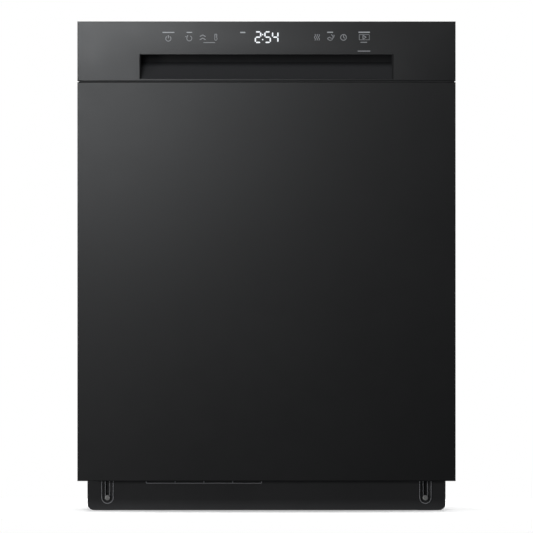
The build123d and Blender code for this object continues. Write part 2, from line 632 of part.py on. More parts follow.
def feed_duct():
    """Flat duct up the back wall and along the ceiling, with the dock for the upper arm
    and the ceiling sprayer."""
    duct = block((-DUCT_X, DUCT_X), DUCT_Y, (TUB_FLOOR + 30, TUB_TOP - 10))
    duct = fillet(duct.edges().filter_by(Axis.Z), 5)
    duct += block((-14, 14), (-22, 250), (TUB_TOP - 18, TUB_TOP - 7))
    duct += rod((0, 226, ARM2_Z + 20), (0, 250, ARM2_Z + 20), 15)
    duct -= rod((0, 224, ARM2_Z + 20), (0, 240, ARM2_Z + 20), 11)
    sprayer = rod((0, WASH_Y - 2, TUB_TOP - 30), (0, WASH_Y - 2, TUB_TOP - 14), 16)
    sprayer += rod((0, WASH_Y - 2, TUB_TOP - 34), (0, WASH_Y - 2, TUB_TOP - 26), 30)
    for i in range(8):
        angle = radians(i * 45)
        x, y = 21 * cos(angle), WASH_Y - 2 + 21 * sin(angle)
        sprayer -= rod((x, y, TUB_TOP - 36), (x, y, TUB_TOP - 29), 2)
    foot = block((-34, 34), (232, TUB_BACK - 0.4), (TUB_FLOOR + 29, TUB_FLOOR + 42))
    return duct + sprayer + foot


def arm_blade(length, root, tip, z, thick, sweep_back):
    """One swept blade of a spray arm, from the hub outwards along +X."""
    points = [(0, -root), (length * 0.5, -root * 0.75 - sweep_back * 0.3), (length - tip, -tip - sweep_back)]
    points += [(length, -sweep_back), (length - tip, tip - sweep_back)]
    points += [(length * 0.5, root * 0.75 - sweep_back * 0.3), (0, root)]
    outline = Plane(origin=(0, WASH_Y, z)) * make_face(Polyline(*points, close=True))
    blade = extrude(outline.face(), amount=thick)
    blade = fillet(blade.edges().filter_by(Axis.Z).sort_by(Axis.X)[-3:], tip * 0.6)
    return chamfer(blade.edges().group_by(Axis.Z)[-1], 2.5)


def spray_arm(length, z, thick, hub_z, bore):
    """Two-bladed spray arm with jets on top."""
    blade = arm_blade(length, 27, 17, z, thick, 14)
    other = Pos(0, WASH_Y, 0) * Rot(0, 0, 180) * Pos(0, -WASH_Y, 0) * blade
    arm = blade + other + rod((0, WASH_Y, hub_z[0]), (0, WASH_Y, hub_z[1]), 22)
    for side in (1, -1):
        for i in range(5):
            x = side * (length * (0.3 + 0.145 * i))
            y = WASH_Y - side * (14 * (abs(x) / length) ** 1.4)
            arm -= rod((x, y, z + thick - 3), (x, y, z + thick + 2), 2.2)
    if bore:
        arm -= rod((0, WASH_Y, hub_z[0] - 1), (0, WASH_Y, hub_z[1] - 6), bore)
    return arm


def float_cap():
    """Float that shuts off the water when the tub is too full."""
    cap = rod((FLOAT_X, FLOAT_Y, TUB_FLOOR + 3), (FLOAT_X, FLOAT_Y, TUB_FLOOR + 27), 12)
    cap = fillet(cap.edges().group_by(Axis.Z)[-1], 7)
    return cap + rod((FLOAT_X, FLOAT_Y, 100), (FLOAT_X, FLOAT_Y, TUB_FLOOR + 4), 3.5)


# ---------------------------------------------------------------- door
def hinge_notches(y, z):
    return block(NOTCH_X, y, z) + block((-NOTCH_X[1], -NOTCH_X[0]), y, z)


def door_outer_panel():
    """Black coated steel skin of the door, folded back on four sides."""
    panel = folded_tray((-HALF, HALF), (DOOR_BOTTOM, PANEL_TOP), PANEL_DEPTH, SHEET, SHEET, 1.4)
    return panel - hinge_notches((FRONT + 8, FRONT + 30), (DOOR_BOTTOM - 1, DOOR_BOTTOM + 4))


def window_outline(y, side, above):
    """The handle window's outline in the plane at y, grown at its sides and at its top."""
    height = WINDOW_Z[1] - WINDOW_Z[0] + above
    plane = Plane(origin=(0, y, WINDOW_Z[0] + height / 2), x_dir=(1, 0, 0), z_dir=(0, -1, 0))
    return (plane * Rectangle(2 * (WINDOW_HALF + side), height)).face()


def control_panel():
    """Fascia across the top of the door, with the window of the pocket handle."""
    z = (DOOR_TOP - CONTROL_PANEL_HEIGHT, DOOR_TOP)
    panel = folded_tray((-HALF, HALF), z, PANEL_DEPTH, FASCIA, 1.3, 1.4)
    panel -= block((-WINDOW_HALF, WINDOW_HALF), (FRONT - 1, FRONT + FASCIA + 1), WINDOW_Z)
    return panel - loft([window_outline(FRONT - 0.01, 2.6, 1.4), window_outline(FRONT + 2.4, 0, 0)])


def handle_pocket():
    """Moulded recess behind the window: a ramp below and a finger space behind the fascia."""
    front = FRONT + FASCIA + 0.1
    ramp_top = 714.5
    wall = 2.0
    outer = [(front, 691.05), (POCKET_BACK - 3, ramp_top - 2.6), (POCKET_BACK + wall, ramp_top + 4)]
    outer += [(POCKET_BACK + wall, POCKET_TOP + wall), (front, POCKET_TOP + wall)]
    inner = [(front - 1, WINDOW_Z[0] - 0.2), (front, WINDOW_Z[0]), (POCKET_BACK - 5, ramp_top)]
    inner += [(POCKET_BACK, ramp_top + 6), (POCKET_BACK, POCKET_TOP), (front - 1, POCKET_TOP)]
    shell = profile_x(outer, (-WINDOW_HALF - wall, WINDOW_HALF + wall))
    return shell - profile_x(inner, (-WINDOW_HALF, WINDOW_HALF))


def display_module():
    """Lit display behind the fascia, with the touch sensor strips beside it."""
    y = FRONT + FASCIA + 0.1
    housing = block((-46, 46), (y, y + 12), (POCKET_TOP + 3, 776))
    housing = fillet(housing.edges().filter_by(Axis.Y), 3)
    left = block((-166, -52), (y, y + 3), (POCKET_TOP + 3, 776))
    right = block((66, 186), (y, y + 3), (POCKET_TOP + 3, 776))
    return group([housing, left, right, control_board()])


def control_board():
    """Circuit board behind the display, with its tall components."""
    y = FRONT + FASCIA + 12.4
    board = block((-190, 190), (y, y + 1.6), (POCKET_TOP + 4, 777))
    components = ((-150, 24, 7), (-108, 14, 5), (-78, 20, 6), (72, 16, 5), (104, 26, 6), (148, 20, 4))
    for x, width, height in components:
        board += block((x, x + width), (y + 1.5, y + 1.6 + height), (POCKET_TOP + 10, 770))
    return board


def inner_door_panel():
    """Stainless inner sheet with a pressed-out middle, cut out for the dispenser and latch."""
    half, top, bottom = HALF - SHEET - 0.5, 781.0, 66.0
    front_y = FRONT + PANEL_DEPTH + 0.4
    outer = block((-half, half), (front_y, DOOR_REAR), (bottom, top))
    outer = fillet(outer.faces().sort_by(Axis.Y)[-1].edges(), 2.5)
    outer -= block((-half + 1, half - 1), (front_y - 1, DOOR_REAR - 1), (bottom + 1, top - 1))
    raised = raised_form(0)
    hollow = raised_form(1.0)
    panel = outer + raised - hollow
    panel -= block(
        (DISPENSER_X[0] - 0.4, DISPENSER_X[1] + 0.4),
        (DOOR_REAR - 4, DOOR_RAISED + 1),
        (DISPENSER_Z[0] - 0.4, DISPENSER_Z[1] + 0.4),
    )
    panel -= block((-15, 15), (DOOR_REAR - 3, DOOR_REAR + 1), (LATCH_Z - 6, LATCH_Z + 6))
    return panel - hinge_notches((front_y - 1, DOOR_REAR + 2), (bottom - 1, HINGE_Z + 17))


def raised_form(inset):
    """The pressed-out middle of the inner panel, tapered towards the tub."""
    root = DOOR_REAR - (1.7 if inset else 0.5)
    base = Plane(origin=(0, root, sum(RAISED_Z) / 2), x_dir=(1, 0, 0), z_dir=(0, 1, 0))
    width, height = 2 * RAISED_X, RAISED_Z[1] - RAISED_Z[0]
    low = base * RectangleRounded(width - 2 * inset, height - 2 * inset, 24)
    rise = DOOR_RAISED - root - inset
    high = base.offset(rise) * RectangleRounded(width - 16 - 2 * inset, height - 16 - 2 * inset, 20)
    return loft([low.face(), high.face()])


def door_insulation():
    """Felt pad behind the door's outer sheet."""
    pad = block((-268, 268), (FRONT + 3, FRONT + 21), (110, 676))
    return fillet(pad.edges().filter_by(Axis.Y), 12)


def dispenser_body():
    """Detergent and rinse-aid dispenser set into the inner panel."""
    face = DOOR_RAISED + 2.6
    body = block(DISPENSER_X, (FRONT + 26, face - 0.5), DISPENSER_Z)
    rim_x = (DISPENSER_X[0] - 7, DISPENSER_X[1] + 7)
    rim_z = (DISPENSER_Z[0] - 7, DISPENSER_Z[1] + 7)
    bezel = block(rim_x, (DOOR_RAISED + 0.15, face), rim_z)
    bezel = fillet(bezel.edges().filter_by(Axis.Y), 12)
    bezel = chamfer(bezel.faces().sort_by(Axis.Y)[-1].edges(), 1.2)
    body += bezel
    body -= fillet(block(CUP_X, (face - 27, face + 1), CUP_Z).edges().filter_by(Axis.Y), 8)
    body -= fillet(block((-96, -30), (face - 12, face + 1), (406, 438)).edges().filter_by(Axis.Y), 8)
    body -= rod((RINSE_X, face - 6, RINSE_Z), (RINSE_X, face + 1, RINSE_Z), 16.4)
    body -= rod((RINSE_X, face - 30, RINSE_Z), (RINSE_X, face, RINSE_Z), 9)
    body -= rod((92, face - 1.5, RINSE_Z), (92, face + 1, RINSE_Z), 6)
    return body


def dispenser_lid():
    """Sliding lid over the detergent cup."""
    y0 = DOOR_RAISED + 2.8
    lid = block((CUP_X[0] - 4, CUP_X[1] + 4), (y0, y0 + 2.6), (CUP_Z[0] - 4, CUP_Z[1] + 4))
    lid = fillet(lid.edges().filter_by(Axis.Y), 8)
    grip = block((CUP_X[1] - 12, CUP_X[1] - 6), (y0 + 2, y0 + 5.2), (CUP_Z[0] + 20, CUP_Z[1] - 20))
    return lid + fillet(grip.edges().filter_by(Axis.Y), 2.5)


def rinse_cap():
    """Quarter-turn cap of the rinse-aid tank."""
    face = DOOR_RAISED + 2.6
    cap = rod((RINSE_X, face - 5.6, RINSE_Z), (RINSE_X, face + 0.8, RINSE_Z), 15.8)
    cap += rod((RINSE_X, face - 20, RINSE_Z), (RINSE_X, face - 5, RINSE_Z), 8.4)
    return cap + block((RINSE_X - 13, RINSE_X + 13), (face + 0.5, face + 5), (RINSE_Z - 2.2, RINSE_Z + 2.2))


def latch_body():
    """Latch in the top of the door, open at the back for the tongue."""
    y = (FRONT + 26.0, DOOR_REAR - 1.3)
    z = (POCKET_TOP + 17, 779.0)
    body = block((-27, 27), y, z)
    body -= block((-12, 12), (y[0] + 4, y[1] + 1), (LATCH_Z - 5.5, LATCH_Z + 6.5))
    ears = block((-40, 40), (y[1] - 2, y[1]), (z[0], LATCH_Z - 8))
    return body + ears


def latch_lever():
    """Sprung jaw that rides over the tongue."""
    y = FRONT + 36.0
    lever = rod((-10, y, LATCH_Z + 4.4), (10, y, LATCH_Z + 4.4), 1.6)
    lever += block((-9, 9), (y, DOOR_REAR - 8), (LATCH_Z + 3.2, LATCH_Z + 4.8))
    return lever + block((-9, 9), (DOOR_REAR - 11, DOOR_REAR - 8), (LATCH_Z + 2.3, LATCH_Z + 4))


def hinge_arms():
    """Steel arms inside the door's edges. Each has a hub on the pin and a tail for the spring."""
    x = (288.5, 291.5)
    arm = rod((x[0], HINGE_Y, HINGE_Z), (x[1], HINGE_Y, HINGE_Z), 13)
    arm += block(x, (HINGE_Y - 13, HINGE_Y + 9), (HINGE_Z, 300))
    arm += block(x, (HINGE_Y, HINGE_Y + 34), (HINGE_Z - 8, HINGE_Z + 8))
    arm += rod((x[0], HINGE_Y + 34, HINGE_Z), (x[1], HINGE_Y + 34, HINGE_Z), 8)
    arm += block((279, x[1]), (HINGE_Y - 15.5, HINGE_Y - 13), (110, 300))
    arm -= rod((x[0] - 1, HINGE_Y, HINGE_Z), (x[1] + 1, HINGE_Y, HINGE_Z), HINGE_PIN_R + RUNNING)
    arm -= rod((x[0] - 1, HINGE_Y + 34, HINGE_Z), (x[1] + 1, HINGE_Y + 34, HINGE_Z), 3.2)
    return both_sides(arm)


def door_screws():
    """Screws down both edges of the inner panel."""
    screws = []
    for x in (-294.5, 294.5):
        for i in range(6):
            z = 140 + i * 118
            head = rod((x, DOOR_REAR + 0.05, z), (x, DOOR_REAR + 2.2, z), 3.6)
            head = fillet(head.edges().group_by(Axis.Y)[-1], 1.2)
            screws.append(head - rod((x, DOOR_REAR + 1.2, z), (x, DOOR_REAR + 3, z), 1.5))
    return group(screws)


# ---------------------------------------------------------------- racks
def basket(half, y, floor, rim, lean, count_across, count_along, loops):
    """A welded wire basket: U wires across, U wires front to back, and level loops."""
    z_long = floor + WELD
    bars = []
    for i in range(count_across):
        at = y[0] + 14 + i * (y[1] - y[0] - 28) / (count_across - 1)
        points = [(-half, at, rim), (-half, at, floor), (half, at, floor), (half, at, rim)]
        bars += straight_runs(points, WIRE_R)
    for i in range(count_along):
        x = -half + 18 + i * (2 * half - 36) / (count_along - 1)
        points = [(x, y[0] - lean, rim), (x, y[0], z_long), (x, y[1], z_long), (x, y[1], rim)]
        bars += straight_runs(points, WIRE_R)
    for z in loops:
        front = y[0] - lean * (z - z_long) / (rim - z_long) - WELD
        bars += level_loop((-half - WELD, half + WELD), (front, y[1] + WELD), z, RIM_R, 26)
    return bars


def lower_basket():
    """Lower rack: the welded basket, with a fixed row of tines at the back."""
    bars = basket(LOWER_X, LOWER_Y, LOWER_FLOOR, LOWER_RIM, LOWER_LEAN, 10, 10, (LOWER_RIM, 236.0))
    bar_z = LOWER_FLOOR + 2 * WELD
    bars.append(rod((-LOWER_X + 6, FIXED_TINE_Y, bar_z), (LOWER_X - 6, FIXED_TINE_Y, bar_z), WIRE_R))
    for x in TINE_XS:
        bars.append(rod((x, FIXED_TINE_Y, bar_z), (x, FIXED_TINE_Y, 262), WIRE_R))
    return group(bars)


def wheel_carriers():
    """Clips on the lower rack's sides, each with the axle of one wheel."""
    carriers = []
    for side in (-1, 1):
        for y in WHEEL_YS:
            plate = block((250.3, 256.4), (y - 26, y + 26), (WHEEL_Z - 9, LOWER_FLOOR + 22))
            plate = fillet(plate.edges().filter_by(Axis.X), 8)
            plate += rod((256, y, WHEEL_Z), (WHEEL_X[1] + 1.4, y, WHEEL_Z), AXLE_R)
            plate += rod((WHEEL_X[1] + 0.4, y, WHEEL_Z), (WHEEL_X[1] + 2.4, y, WHEEL_Z), 5)
            carriers.append(plate if side > 0 else mirror(plate, about=Plane.YZ))
    return group(carriers)


def wheel(side, y):
    """Nylon roller of the lower rack, with a dished face."""
    x0, x1 = WHEEL_X
    roller = rod((x0, y, WHEEL_Z), (x1, y, WHEEL_Z), WHEEL_R)
    roller = fillet(roller.edges().filter_by(GeomType.CIRCLE), 1.6)
    roller -= ring((x1 - 3, y, WHEEL_Z), (x1 + 1, y, WHEEL_Z), WHEEL_R - 4, 6.5)
    for i in range(5):
        angle = radians(90 + i * 72)
        py, pz = y + 10.2 * cos(angle), WHEEL_Z + 10.2 * sin(angle)
        roller -= rod((x0 - 1, py, pz), (x1 + 1, py, pz), 2.6)
    roller -= rod((x0 - 1, y, WHEEL_Z), (x1 + 1, y, WHEEL_Z), AXLE_R + RUNNING)
    return roller if side > 0 else mirror(roller, about=Plane.YZ)


def tine_row(y):
    """Folding row of tines for plates, on a bar across the lower rack."""
    half = 226.0
    bars = [rod((-half, y, TINE_BAR_Z), (half, y, TINE_BAR_Z), TINE_BAR_R)]
    for x in TINE_XS:
        bars.append(rod((x, y, TINE_BAR_Z + TINE_BAR_R - 0.4), (x, y, TINE_BAR_Z + TINE_HEIGHT), WIRE_R))
    return group(bars)


def silverware_basket():
    """Cutlery basket with six open cells and a handle, at the front of the lower rack."""
    x, y, z = (-130.0, 130.0), (-190.0, -118.0), (LOWER_FLOOR + 6, 284.0)
    body = fillet(block(x, y, z).edges().filter_by(Axis.Z), 10)
    cell = (x[1] - x[0] - 2 * 7) / 6
    for i in range(6):
        x0 = x[0] + 2 + i * (cell + 2)
        body -= fillet(
            block((x0, x0 + cell), (y[0] + 2, y[1] - 2), (z[0] + 2.5, z[1] + 1)).edges().filter_by(Axis.Z), 4
        )
        for row in range(4):
            z0 = z[0] + 16 + row * 22
            slot = block((x0 + 6, x0 + cell - 6), (y[0] - 1, y[1] + 1), (z0, z0 + 9))
            body -= slot
    mid = (y[0] + y[1]) / 2
    ends = (x[0] + 46, x[1] - 46)
    points = [(ends[0], mid, z[1] - 20), (ends[0], mid, 318), (ends[1], mid, 318), (ends[1], mid, z[1] - 20)]
    return body + wire(points, 4, 16)


def upper_basket():
    """Upper rack's welded basket, with three rows of tines and the cup shelves' bearings."""
    bars = basket(UPPER_X, UPPER_Y, UPPER_FLOOR, UPPER_RIM, 10.0, 8, 10, (UPPER_RIM, 520.0))
    for x in UPPER_TINE_XS:
        z = UPPER_FLOOR - WELD
        bars.append(rod((x, UPPER_Y[0] + 10, z), (x, UPPER_Y[1] - 10, z), WIRE_R))
        for i in range(8):
            y = UPPER_Y[0] + 44 + i * 46
            bars.append(rod((x, y, z), (x, y, UPPER_FLOOR + 64), WIRE_R))
    for side in (-1, 1):
        for y in SHELF_EYE_YS:
            bearing = block((SHELF_X - 7, UPPER_X + 1.4), (y - 3, y + 3), (SHELF_Z - 7, SHELF_Z + 7))
            bearing -= rod((SHELF_X, y - 4, SHELF_Z), (SHELF_X, y + 4, SHELF_Z), SHELF_ROD_R + RUNNING)
            bars.append(bearing if side > 0 else mirror(bearing, about=Plane.YZ))
            bars.append(rod((side * UPPER_X, y, UPPER_RIM), (side * UPPER_X, y, 519), WIRE_R))
    return group(bars)


def channel(x, z_half, sheet):
    """A rail of C section that opens towards the middle of the machine."""
    web = block((x[1] - sheet, x[1]), RAIL_Y, (RAIL_Z - z_half, RAIL_Z + z_half))
    low = block(x, RAIL_Y, (RAIL_Z - z_half, RAIL_Z - z_half + sheet))
    high = block(x, RAIL_Y, (RAIL_Z + z_half - sheet, RAIL_Z + z_half))
    return web + low + high


def upper_rail_outers():
    """Rails screwed to the tub's side walls."""
    return both_sides(channel((266.0, TUB_HALF - 0.3), 23.0, 1.4))


def upper_rail_middles():
    """Middle members of the telescopic rails, with the ball strips in them."""
    middle = channel((262.4, 273.2), 19.4, 1.4)
    for z in (RAIL_Z + 19.4, RAIL_Z - 21.4):
        middle += block((264.4, 270.4), (RAIL_Y[0] + 30, RAIL_Y[1] - 30), (z, z + 2.0))
    return both_sides(middle)


def upper_rail_inners():
    """Inner rails and the hangers that hold the upper basket on them."""
    inner = channel((259.0, 269.8), 15.8, 1.4)
    plate = block((259.0, 260.4), (-150, 150), (RAIL_Z - 14.6, RAIL_Z + 14.6))
    hanger = block((UPPER_X + 7.0, 259.2), (-110, -70), (RAIL_Z - 12, RAIL_Z - 8))
    hanger += block((UPPER_X + 7.0, 259.2), (70, 110), (RAIL_Z - 12, RAIL_Z - 8))
    saddle = block((UPPER_X + 6.6, UPPER_X + 10.0), (-120, 120), (RAIL_Z - 12, UPPER_RIM - 6))
    saddle = fillet(saddle.edges().filter_by(Axis.X), 8)
    return both_sides(inner + plate + hanger + saddle)


def upper_feed_tube():
    """Pipe under the upper rack from the dock to the spray arm's hub."""
    z = ARM2_Z + 20
    pipe = rod((0, WASH_Y - 16, z), (0, 225.4, z), 9) + rod((0, WASH_Y, z - 11), (0, WASH_Y, z + 10), 17)
    pipe += rod((0, 212, z), (0, 225.4, z), 13)
    pipe += block((-12, 12), (100, 106), (z - 4, z + 10.6)) + block((-6, 6), (-90, WASH_Y), (z + 4, z + 9))
    return pipe - rod((0, WASH_Y + 10, z), (0, 226, z), 6.5)


def cup_shelf(side):
    """Folding shelf for cups over the upper rack's side."""
    x_hinge, z = SHELF_X, SHELF_Z
    shelf = block((x_hinge - 88, x_hinge), (-150, 150), (z - 1.8, z + 1.8))
    shelf = fillet(shelf.edges().filter_by(Axis.Z).group_by(Axis.X)[0], 14)
    for row in range(2):
        for i in range(8):
            y0 = -141 + i * 36
            x0 = x_hinge - 82 + row * 40
            shelf -= block((x0, x0 + 32), (y0, y0 + 30), (z - 4, z + 4))
    shelf += rod((x_hinge, -162, z), (x_hinge, 162, z), SHELF_ROD_R)
    return shelf if side > 0 else mirror(shelf, about=Plane.YZ)


# ---------------------------------------------------------------- all parts
def all_parts():
    parts = {
        "base_pan": base_pan(),
        "tub": tub(),
        "tub_insulation": tub_insulation(),
        "frame_posts": frame_posts(),
        "countertop_brackets": countertop_brackets(),
        "access_panel": access_panel(),
        "kick_plate": kick_plate(),
        "kick_plate_screws": kick_plate_screws(),
        "hinge_brackets": hinge_brackets(),
        "door_springs": door_springs(),
        "door_gasket": door_gasket(),
        "sump": sump(),
        "filter_plate": filter_plate(),
        "cylinder_filter": cylinder_filter(),
        "wash_pump_housing": wash_pump_housing(),
        "wash_pump_motor": wash_pump_motor(),
        "wash_impeller": wash_impeller(),
        "drain_pump": drain_pump(),
        "hoses": group([drain_hose(), fill_hose()]),
        "drain_outlet": drain_outlet(),
        "inlet_valve": inlet_valve(),
        "air_break": air_break(),
        "junction_box": junction_box(),
        "feed_duct": feed_duct(),
        "lower_spray_arm": spray_arm(226.0, 140.0, 13.0, (118.0, 153.0), 12.3),
        "upper_spray_arm": spray_arm(196.0, 428.0, 11.0, (425.0, 444.6), None),
        "float_cap": float_cap(),
        "door_outer_panel": door_outer_panel(),
        "control_panel": control_panel(),
        "handle_pocket": handle_pocket(),
        "display_module": display_module(),
        "inner_door_panel": inner_door_panel(),
        "door_insulation": door_insulation(),
        "dispenser_body": dispenser_body(),
        "dispenser_lid": dispenser_lid(),
        "rinse_cap": rinse_cap(),
        "latch_body": latch_body(),
        "latch_lever": latch_lever(),
        "hinge_arms": hinge_arms(),
        "door_screws": door_screws(),
        "lower_basket": lower_basket(),
        "wheel_carriers": wheel_carriers(),
        "silverware_basket": silverware_basket(),
        "upper_basket": upper_basket(),
        "upper_rail_outers": upper_rail_outers(),
        "upper_rail_middles": upper_rail_middles(),
        "upper_rail_inners": upper_rail_inners(),
        "upper_feed_tube": upper_feed_tube(),
        "cup_shelf_left": cup_shelf(-1),
        "cup_shelf_right": cup_shelf(1),
        "tine_row_front": tine_row(TINE_YS[0]),
        "tine_row_rear": tine_row(TINE_YS[1]),
    }
    for end, y in zip(("front", "rear"), LEG_YS):
        parts[f"leg_{end}_left"] = leg(-LEG_X, y)
        parts[f"leg_{end}_right"] = leg(LEG_X, y)
    for end, y in zip(("front", "rear"), WHEEL_YS):
        parts[f"wheel_{end}_left"] = wheel(-1, y)
        parts[f"wheel_{end}_right"] = wheel(1, y)
    return parts


def main():
    os.makedirs("parts", exist_ok=True)
    for name, shape in all_parts().items():
        export_step(Pos(0, 0, -FLOOR) * shape, f"parts/{name}.step")


main()
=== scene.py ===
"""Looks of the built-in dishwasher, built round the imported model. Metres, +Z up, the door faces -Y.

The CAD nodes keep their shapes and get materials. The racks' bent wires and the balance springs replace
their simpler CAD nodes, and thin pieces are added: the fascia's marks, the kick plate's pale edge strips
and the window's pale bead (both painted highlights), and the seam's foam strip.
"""

import json
import math

import bmesh
import bpy
from mathutils import Matrix, Quaternion, Vector


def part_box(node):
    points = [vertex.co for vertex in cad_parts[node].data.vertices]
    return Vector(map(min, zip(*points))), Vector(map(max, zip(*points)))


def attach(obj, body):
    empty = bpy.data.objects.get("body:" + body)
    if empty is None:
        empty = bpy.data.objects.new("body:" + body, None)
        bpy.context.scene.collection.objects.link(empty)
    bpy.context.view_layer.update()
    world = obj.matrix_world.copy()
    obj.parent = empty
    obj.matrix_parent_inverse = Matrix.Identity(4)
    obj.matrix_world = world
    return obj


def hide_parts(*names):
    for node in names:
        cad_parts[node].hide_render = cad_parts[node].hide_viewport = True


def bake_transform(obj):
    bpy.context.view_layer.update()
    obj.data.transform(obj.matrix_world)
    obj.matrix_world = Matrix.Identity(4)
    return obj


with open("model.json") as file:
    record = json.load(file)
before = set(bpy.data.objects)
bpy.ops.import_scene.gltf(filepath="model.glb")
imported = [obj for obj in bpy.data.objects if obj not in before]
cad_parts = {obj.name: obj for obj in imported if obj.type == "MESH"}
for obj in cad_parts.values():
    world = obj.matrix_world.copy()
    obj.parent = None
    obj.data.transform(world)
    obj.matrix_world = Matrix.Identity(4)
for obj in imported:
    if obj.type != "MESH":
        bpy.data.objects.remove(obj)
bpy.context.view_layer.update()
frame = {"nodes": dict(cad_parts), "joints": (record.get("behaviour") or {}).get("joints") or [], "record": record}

NODES = frame["nodes"]
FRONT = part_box("door_outer_panel")[0].y
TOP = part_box("control_panel")[1].z
MM = 0.001


# ---------------------------------------------------------------- materials
class Shader:
    """A Principled material and the few node patterns that this object needs."""

    def __init__(self, name, color, rough, metal=0.0, **sockets):
        self.mat = bpy.data.materials.new(name)
        self.mat.use_nodes = True
        self.tree = self.mat.node_tree
        self.bsdf = self.tree.nodes["Principled BSDF"]
        self.bsdf.inputs["Base Color"].default_value = (*color, 1)
        self.bsdf.inputs["Roughness"].default_value = rough
        self.bsdf.inputs["Metallic"].default_value = metal
        for key, value in sockets.items():
            self.bsdf.inputs[key.replace("_", " ")].default_value = value
        self.normal = None

    def node(self, kind, **values):
        made = self.tree.nodes.new(kind)
        for key, value in values.items():
            if key in made.inputs:
                made.inputs[key].default_value = value
            else:
                setattr(made, key, value)
        return made

    def link(self, a, b):
        self.tree.links.new(a, b)

    def coordinates(self, stretch=(1, 1, 1)):
        place = self.node("ShaderNodeTexCoord")
        mapping = self.node("ShaderNodeMapping", Scale=stretch)
        self.link(place.outputs["Object"], mapping.inputs["Vector"])
        return mapping.outputs["Vector"]

    def noise(self, scale, detail=3.0, stretch=(1, 1, 1), roughness=0.5):
        made = self.node("ShaderNodeTexNoise", Scale=scale, Detail=detail, Roughness=roughness)
        self.link(self.coordinates(stretch), made.inputs["Vector"])
        return made.outputs["Fac"]

    def cells(self, scale, feature="F1", output="Distance"):
        made = self.node("ShaderNodeTexVoronoi", Scale=scale, feature=feature)
        self.link(self.coordinates(), made.inputs["Vector"])
        return made.outputs[output]

    def spread(self, value, low, high, from_low=0.3, from_high=0.7):
        made = self.node("ShaderNodeMapRange")
        limits = {"From Min": from_low, "From Max": from_high, "To Min": low, "To Max": high}
        for key, number in limits.items():
            made.inputs[key].default_value = number
        self.link(value, made.inputs["Value"])
        return made.outputs["Result"]

    def tint(self, value, dark, light, socket="Base Color"):
        ramp = self.node("ShaderNodeValToRGB")
        ramp.color_ramp.elements[0].position = 0.3
        ramp.color_ramp.elements[1].position = 0.7
        ramp.color_ramp.elements[0].color = (*dark, 1)
        ramp.color_ramp.elements[1].color = (*light, 1)
        self.link(value, ramp.inputs["Fac"])
        self.link(ramp.outputs["Color"], self.bsdf.inputs[socket])
        return self

    def gloss(self, value, low, high):
        self.link(self.spread(value, low, high), self.bsdf.inputs["Roughness"])
        return self

    def bump(self, value, distance, strength=1.0):
        made = self.node("ShaderNodeBump", Strength=strength, Distance=distance)
        self.link(value, made.inputs["Height"])
        if self.normal is not None:
            self.link(self.normal, made.inputs["Normal"])
        self.normal = made.outputs["Normal"]
        self.link(self.normal, self.bsdf.inputs["Normal"])
        return self


def grey(value, blue=1.06):
    return (value, value * 1.01, value * blue)


def coated_steel(name, value, low, high, grain=0.00002, specular=0.5):
    """Satin black coating: faint cloudiness, uneven gloss and orange peel."""
    s = Shader(name, grey(value), (low + high) / 2, Specular_IOR_Level=specular)
    s.tint(s.noise(6, 4), grey(value * 0.9), grey(value * 1.1))
    s.gloss(s.noise(35, 5), low, high)
    return s.bump(s.noise(900, 2), grain, 0.25).mat


def moulded(name, color, rough=0.5, grain=700):
    """Injection moulded plastic with a fine spark-eroded texture."""
    s = Shader(name, color, rough)
    s.tint(s.noise(14, 3), tuple(c * 0.92 for c in color), tuple(c * 1.06 for c in color))
    s.gloss(s.noise(60, 4), rough - 0.06, rough + 0.06)
    return s.bump(s.noise(grain, 2), 0.00004, 0.35).mat


def recess_plastic(name):
    """Dull moulding of the handle pocket: hardly any gloss, with painted shade that darkens its colour towards the
    back wall.
    """
    s = Shader(name, grey(0.014), 0.8)
    s.bsdf.inputs["Specular IOR Level"].default_value = 0.12
    place = s.node("ShaderNodeTexCoord")
    axes = s.node("ShaderNodeSeparateXYZ")
    s.link(place.outputs["Object"], axes.inputs["Vector"])
    # Painted shade: the colour falls from the ramp to the back wall, standing in for the shadow under the fascia's
    # lip.
    painted_shade_depth = s.spread(axes.outputs["Y"], 0.75, 0.25, FRONT + 0.035, FRONT + 0.039)
    s.tint(painted_shade_depth, grey(0.02), grey(0.056))
    s.gloss(s.noise(60, 4), 0.74, 0.86)
    return s.bump(s.noise(700, 2), 0.00005, 0.4).mat


def brushed(name, value, stretch, rough=0.3, metal=1.0):
    """Stainless sheet with fine brushing along one axis."""
    s = Shader(name, (value, value * 0.995, value * 0.98), rough, metal)
    lines = s.noise(1400, 3, stretch, 0.6)
    s.tint(s.noise(5, 3), (value * 0.93,) * 3, (value * 1.02, value * 1.015, value))
    s.gloss(lines, rough - 0.04, rough + 0.05)
    return s.bump(lines, 0.000004, 0.3).mat


def zinc_coated(name):
    """Hot-dip galvanised steel with its spangle."""
    s = Shader(name, (0.52, 0.54, 0.56), 0.42, 1.0)
    s.tint(s.cells(130, "F1", "Color"), (0.42, 0.44, 0.46), (0.60, 0.62, 0.64))
    s.gloss(s.cells(130, "F1", "Color"), 0.34, 0.5)
    return s.bump(s.noise(500, 2), 0.00002, 0.2).mat


def rubber(name):
    s = Shader(name, (0.018, 0.018, 0.019), 0.62)
    s.tint(s.noise(40, 4), (0.014, 0.014, 0.015), (0.026, 0.026, 0.027))
    return s.bump(s.noise(600, 3), 0.00005, 0.4).mat


def felt(name):
    """Bitumen-backed felt: matted fibres and a few pale ones."""
    s = Shader(name, (0.05, 0.05, 0.052), 0.95)
    fibres = s.noise(420, 6, (1, 1, 0.35), 0.75)
    s.tint(fibres, (0.025, 0.025, 0.027), (0.10, 0.10, 0.105))
    s.bsdf.inputs["Sheen Weight"].default_value = 0.25
    s.bsdf.inputs["Sheen Roughness"].default_value = 0.6
    return s.bump(fibres, 0.0006, 0.7).bump(s.noise(30, 3), 0.0012, 0.4).mat


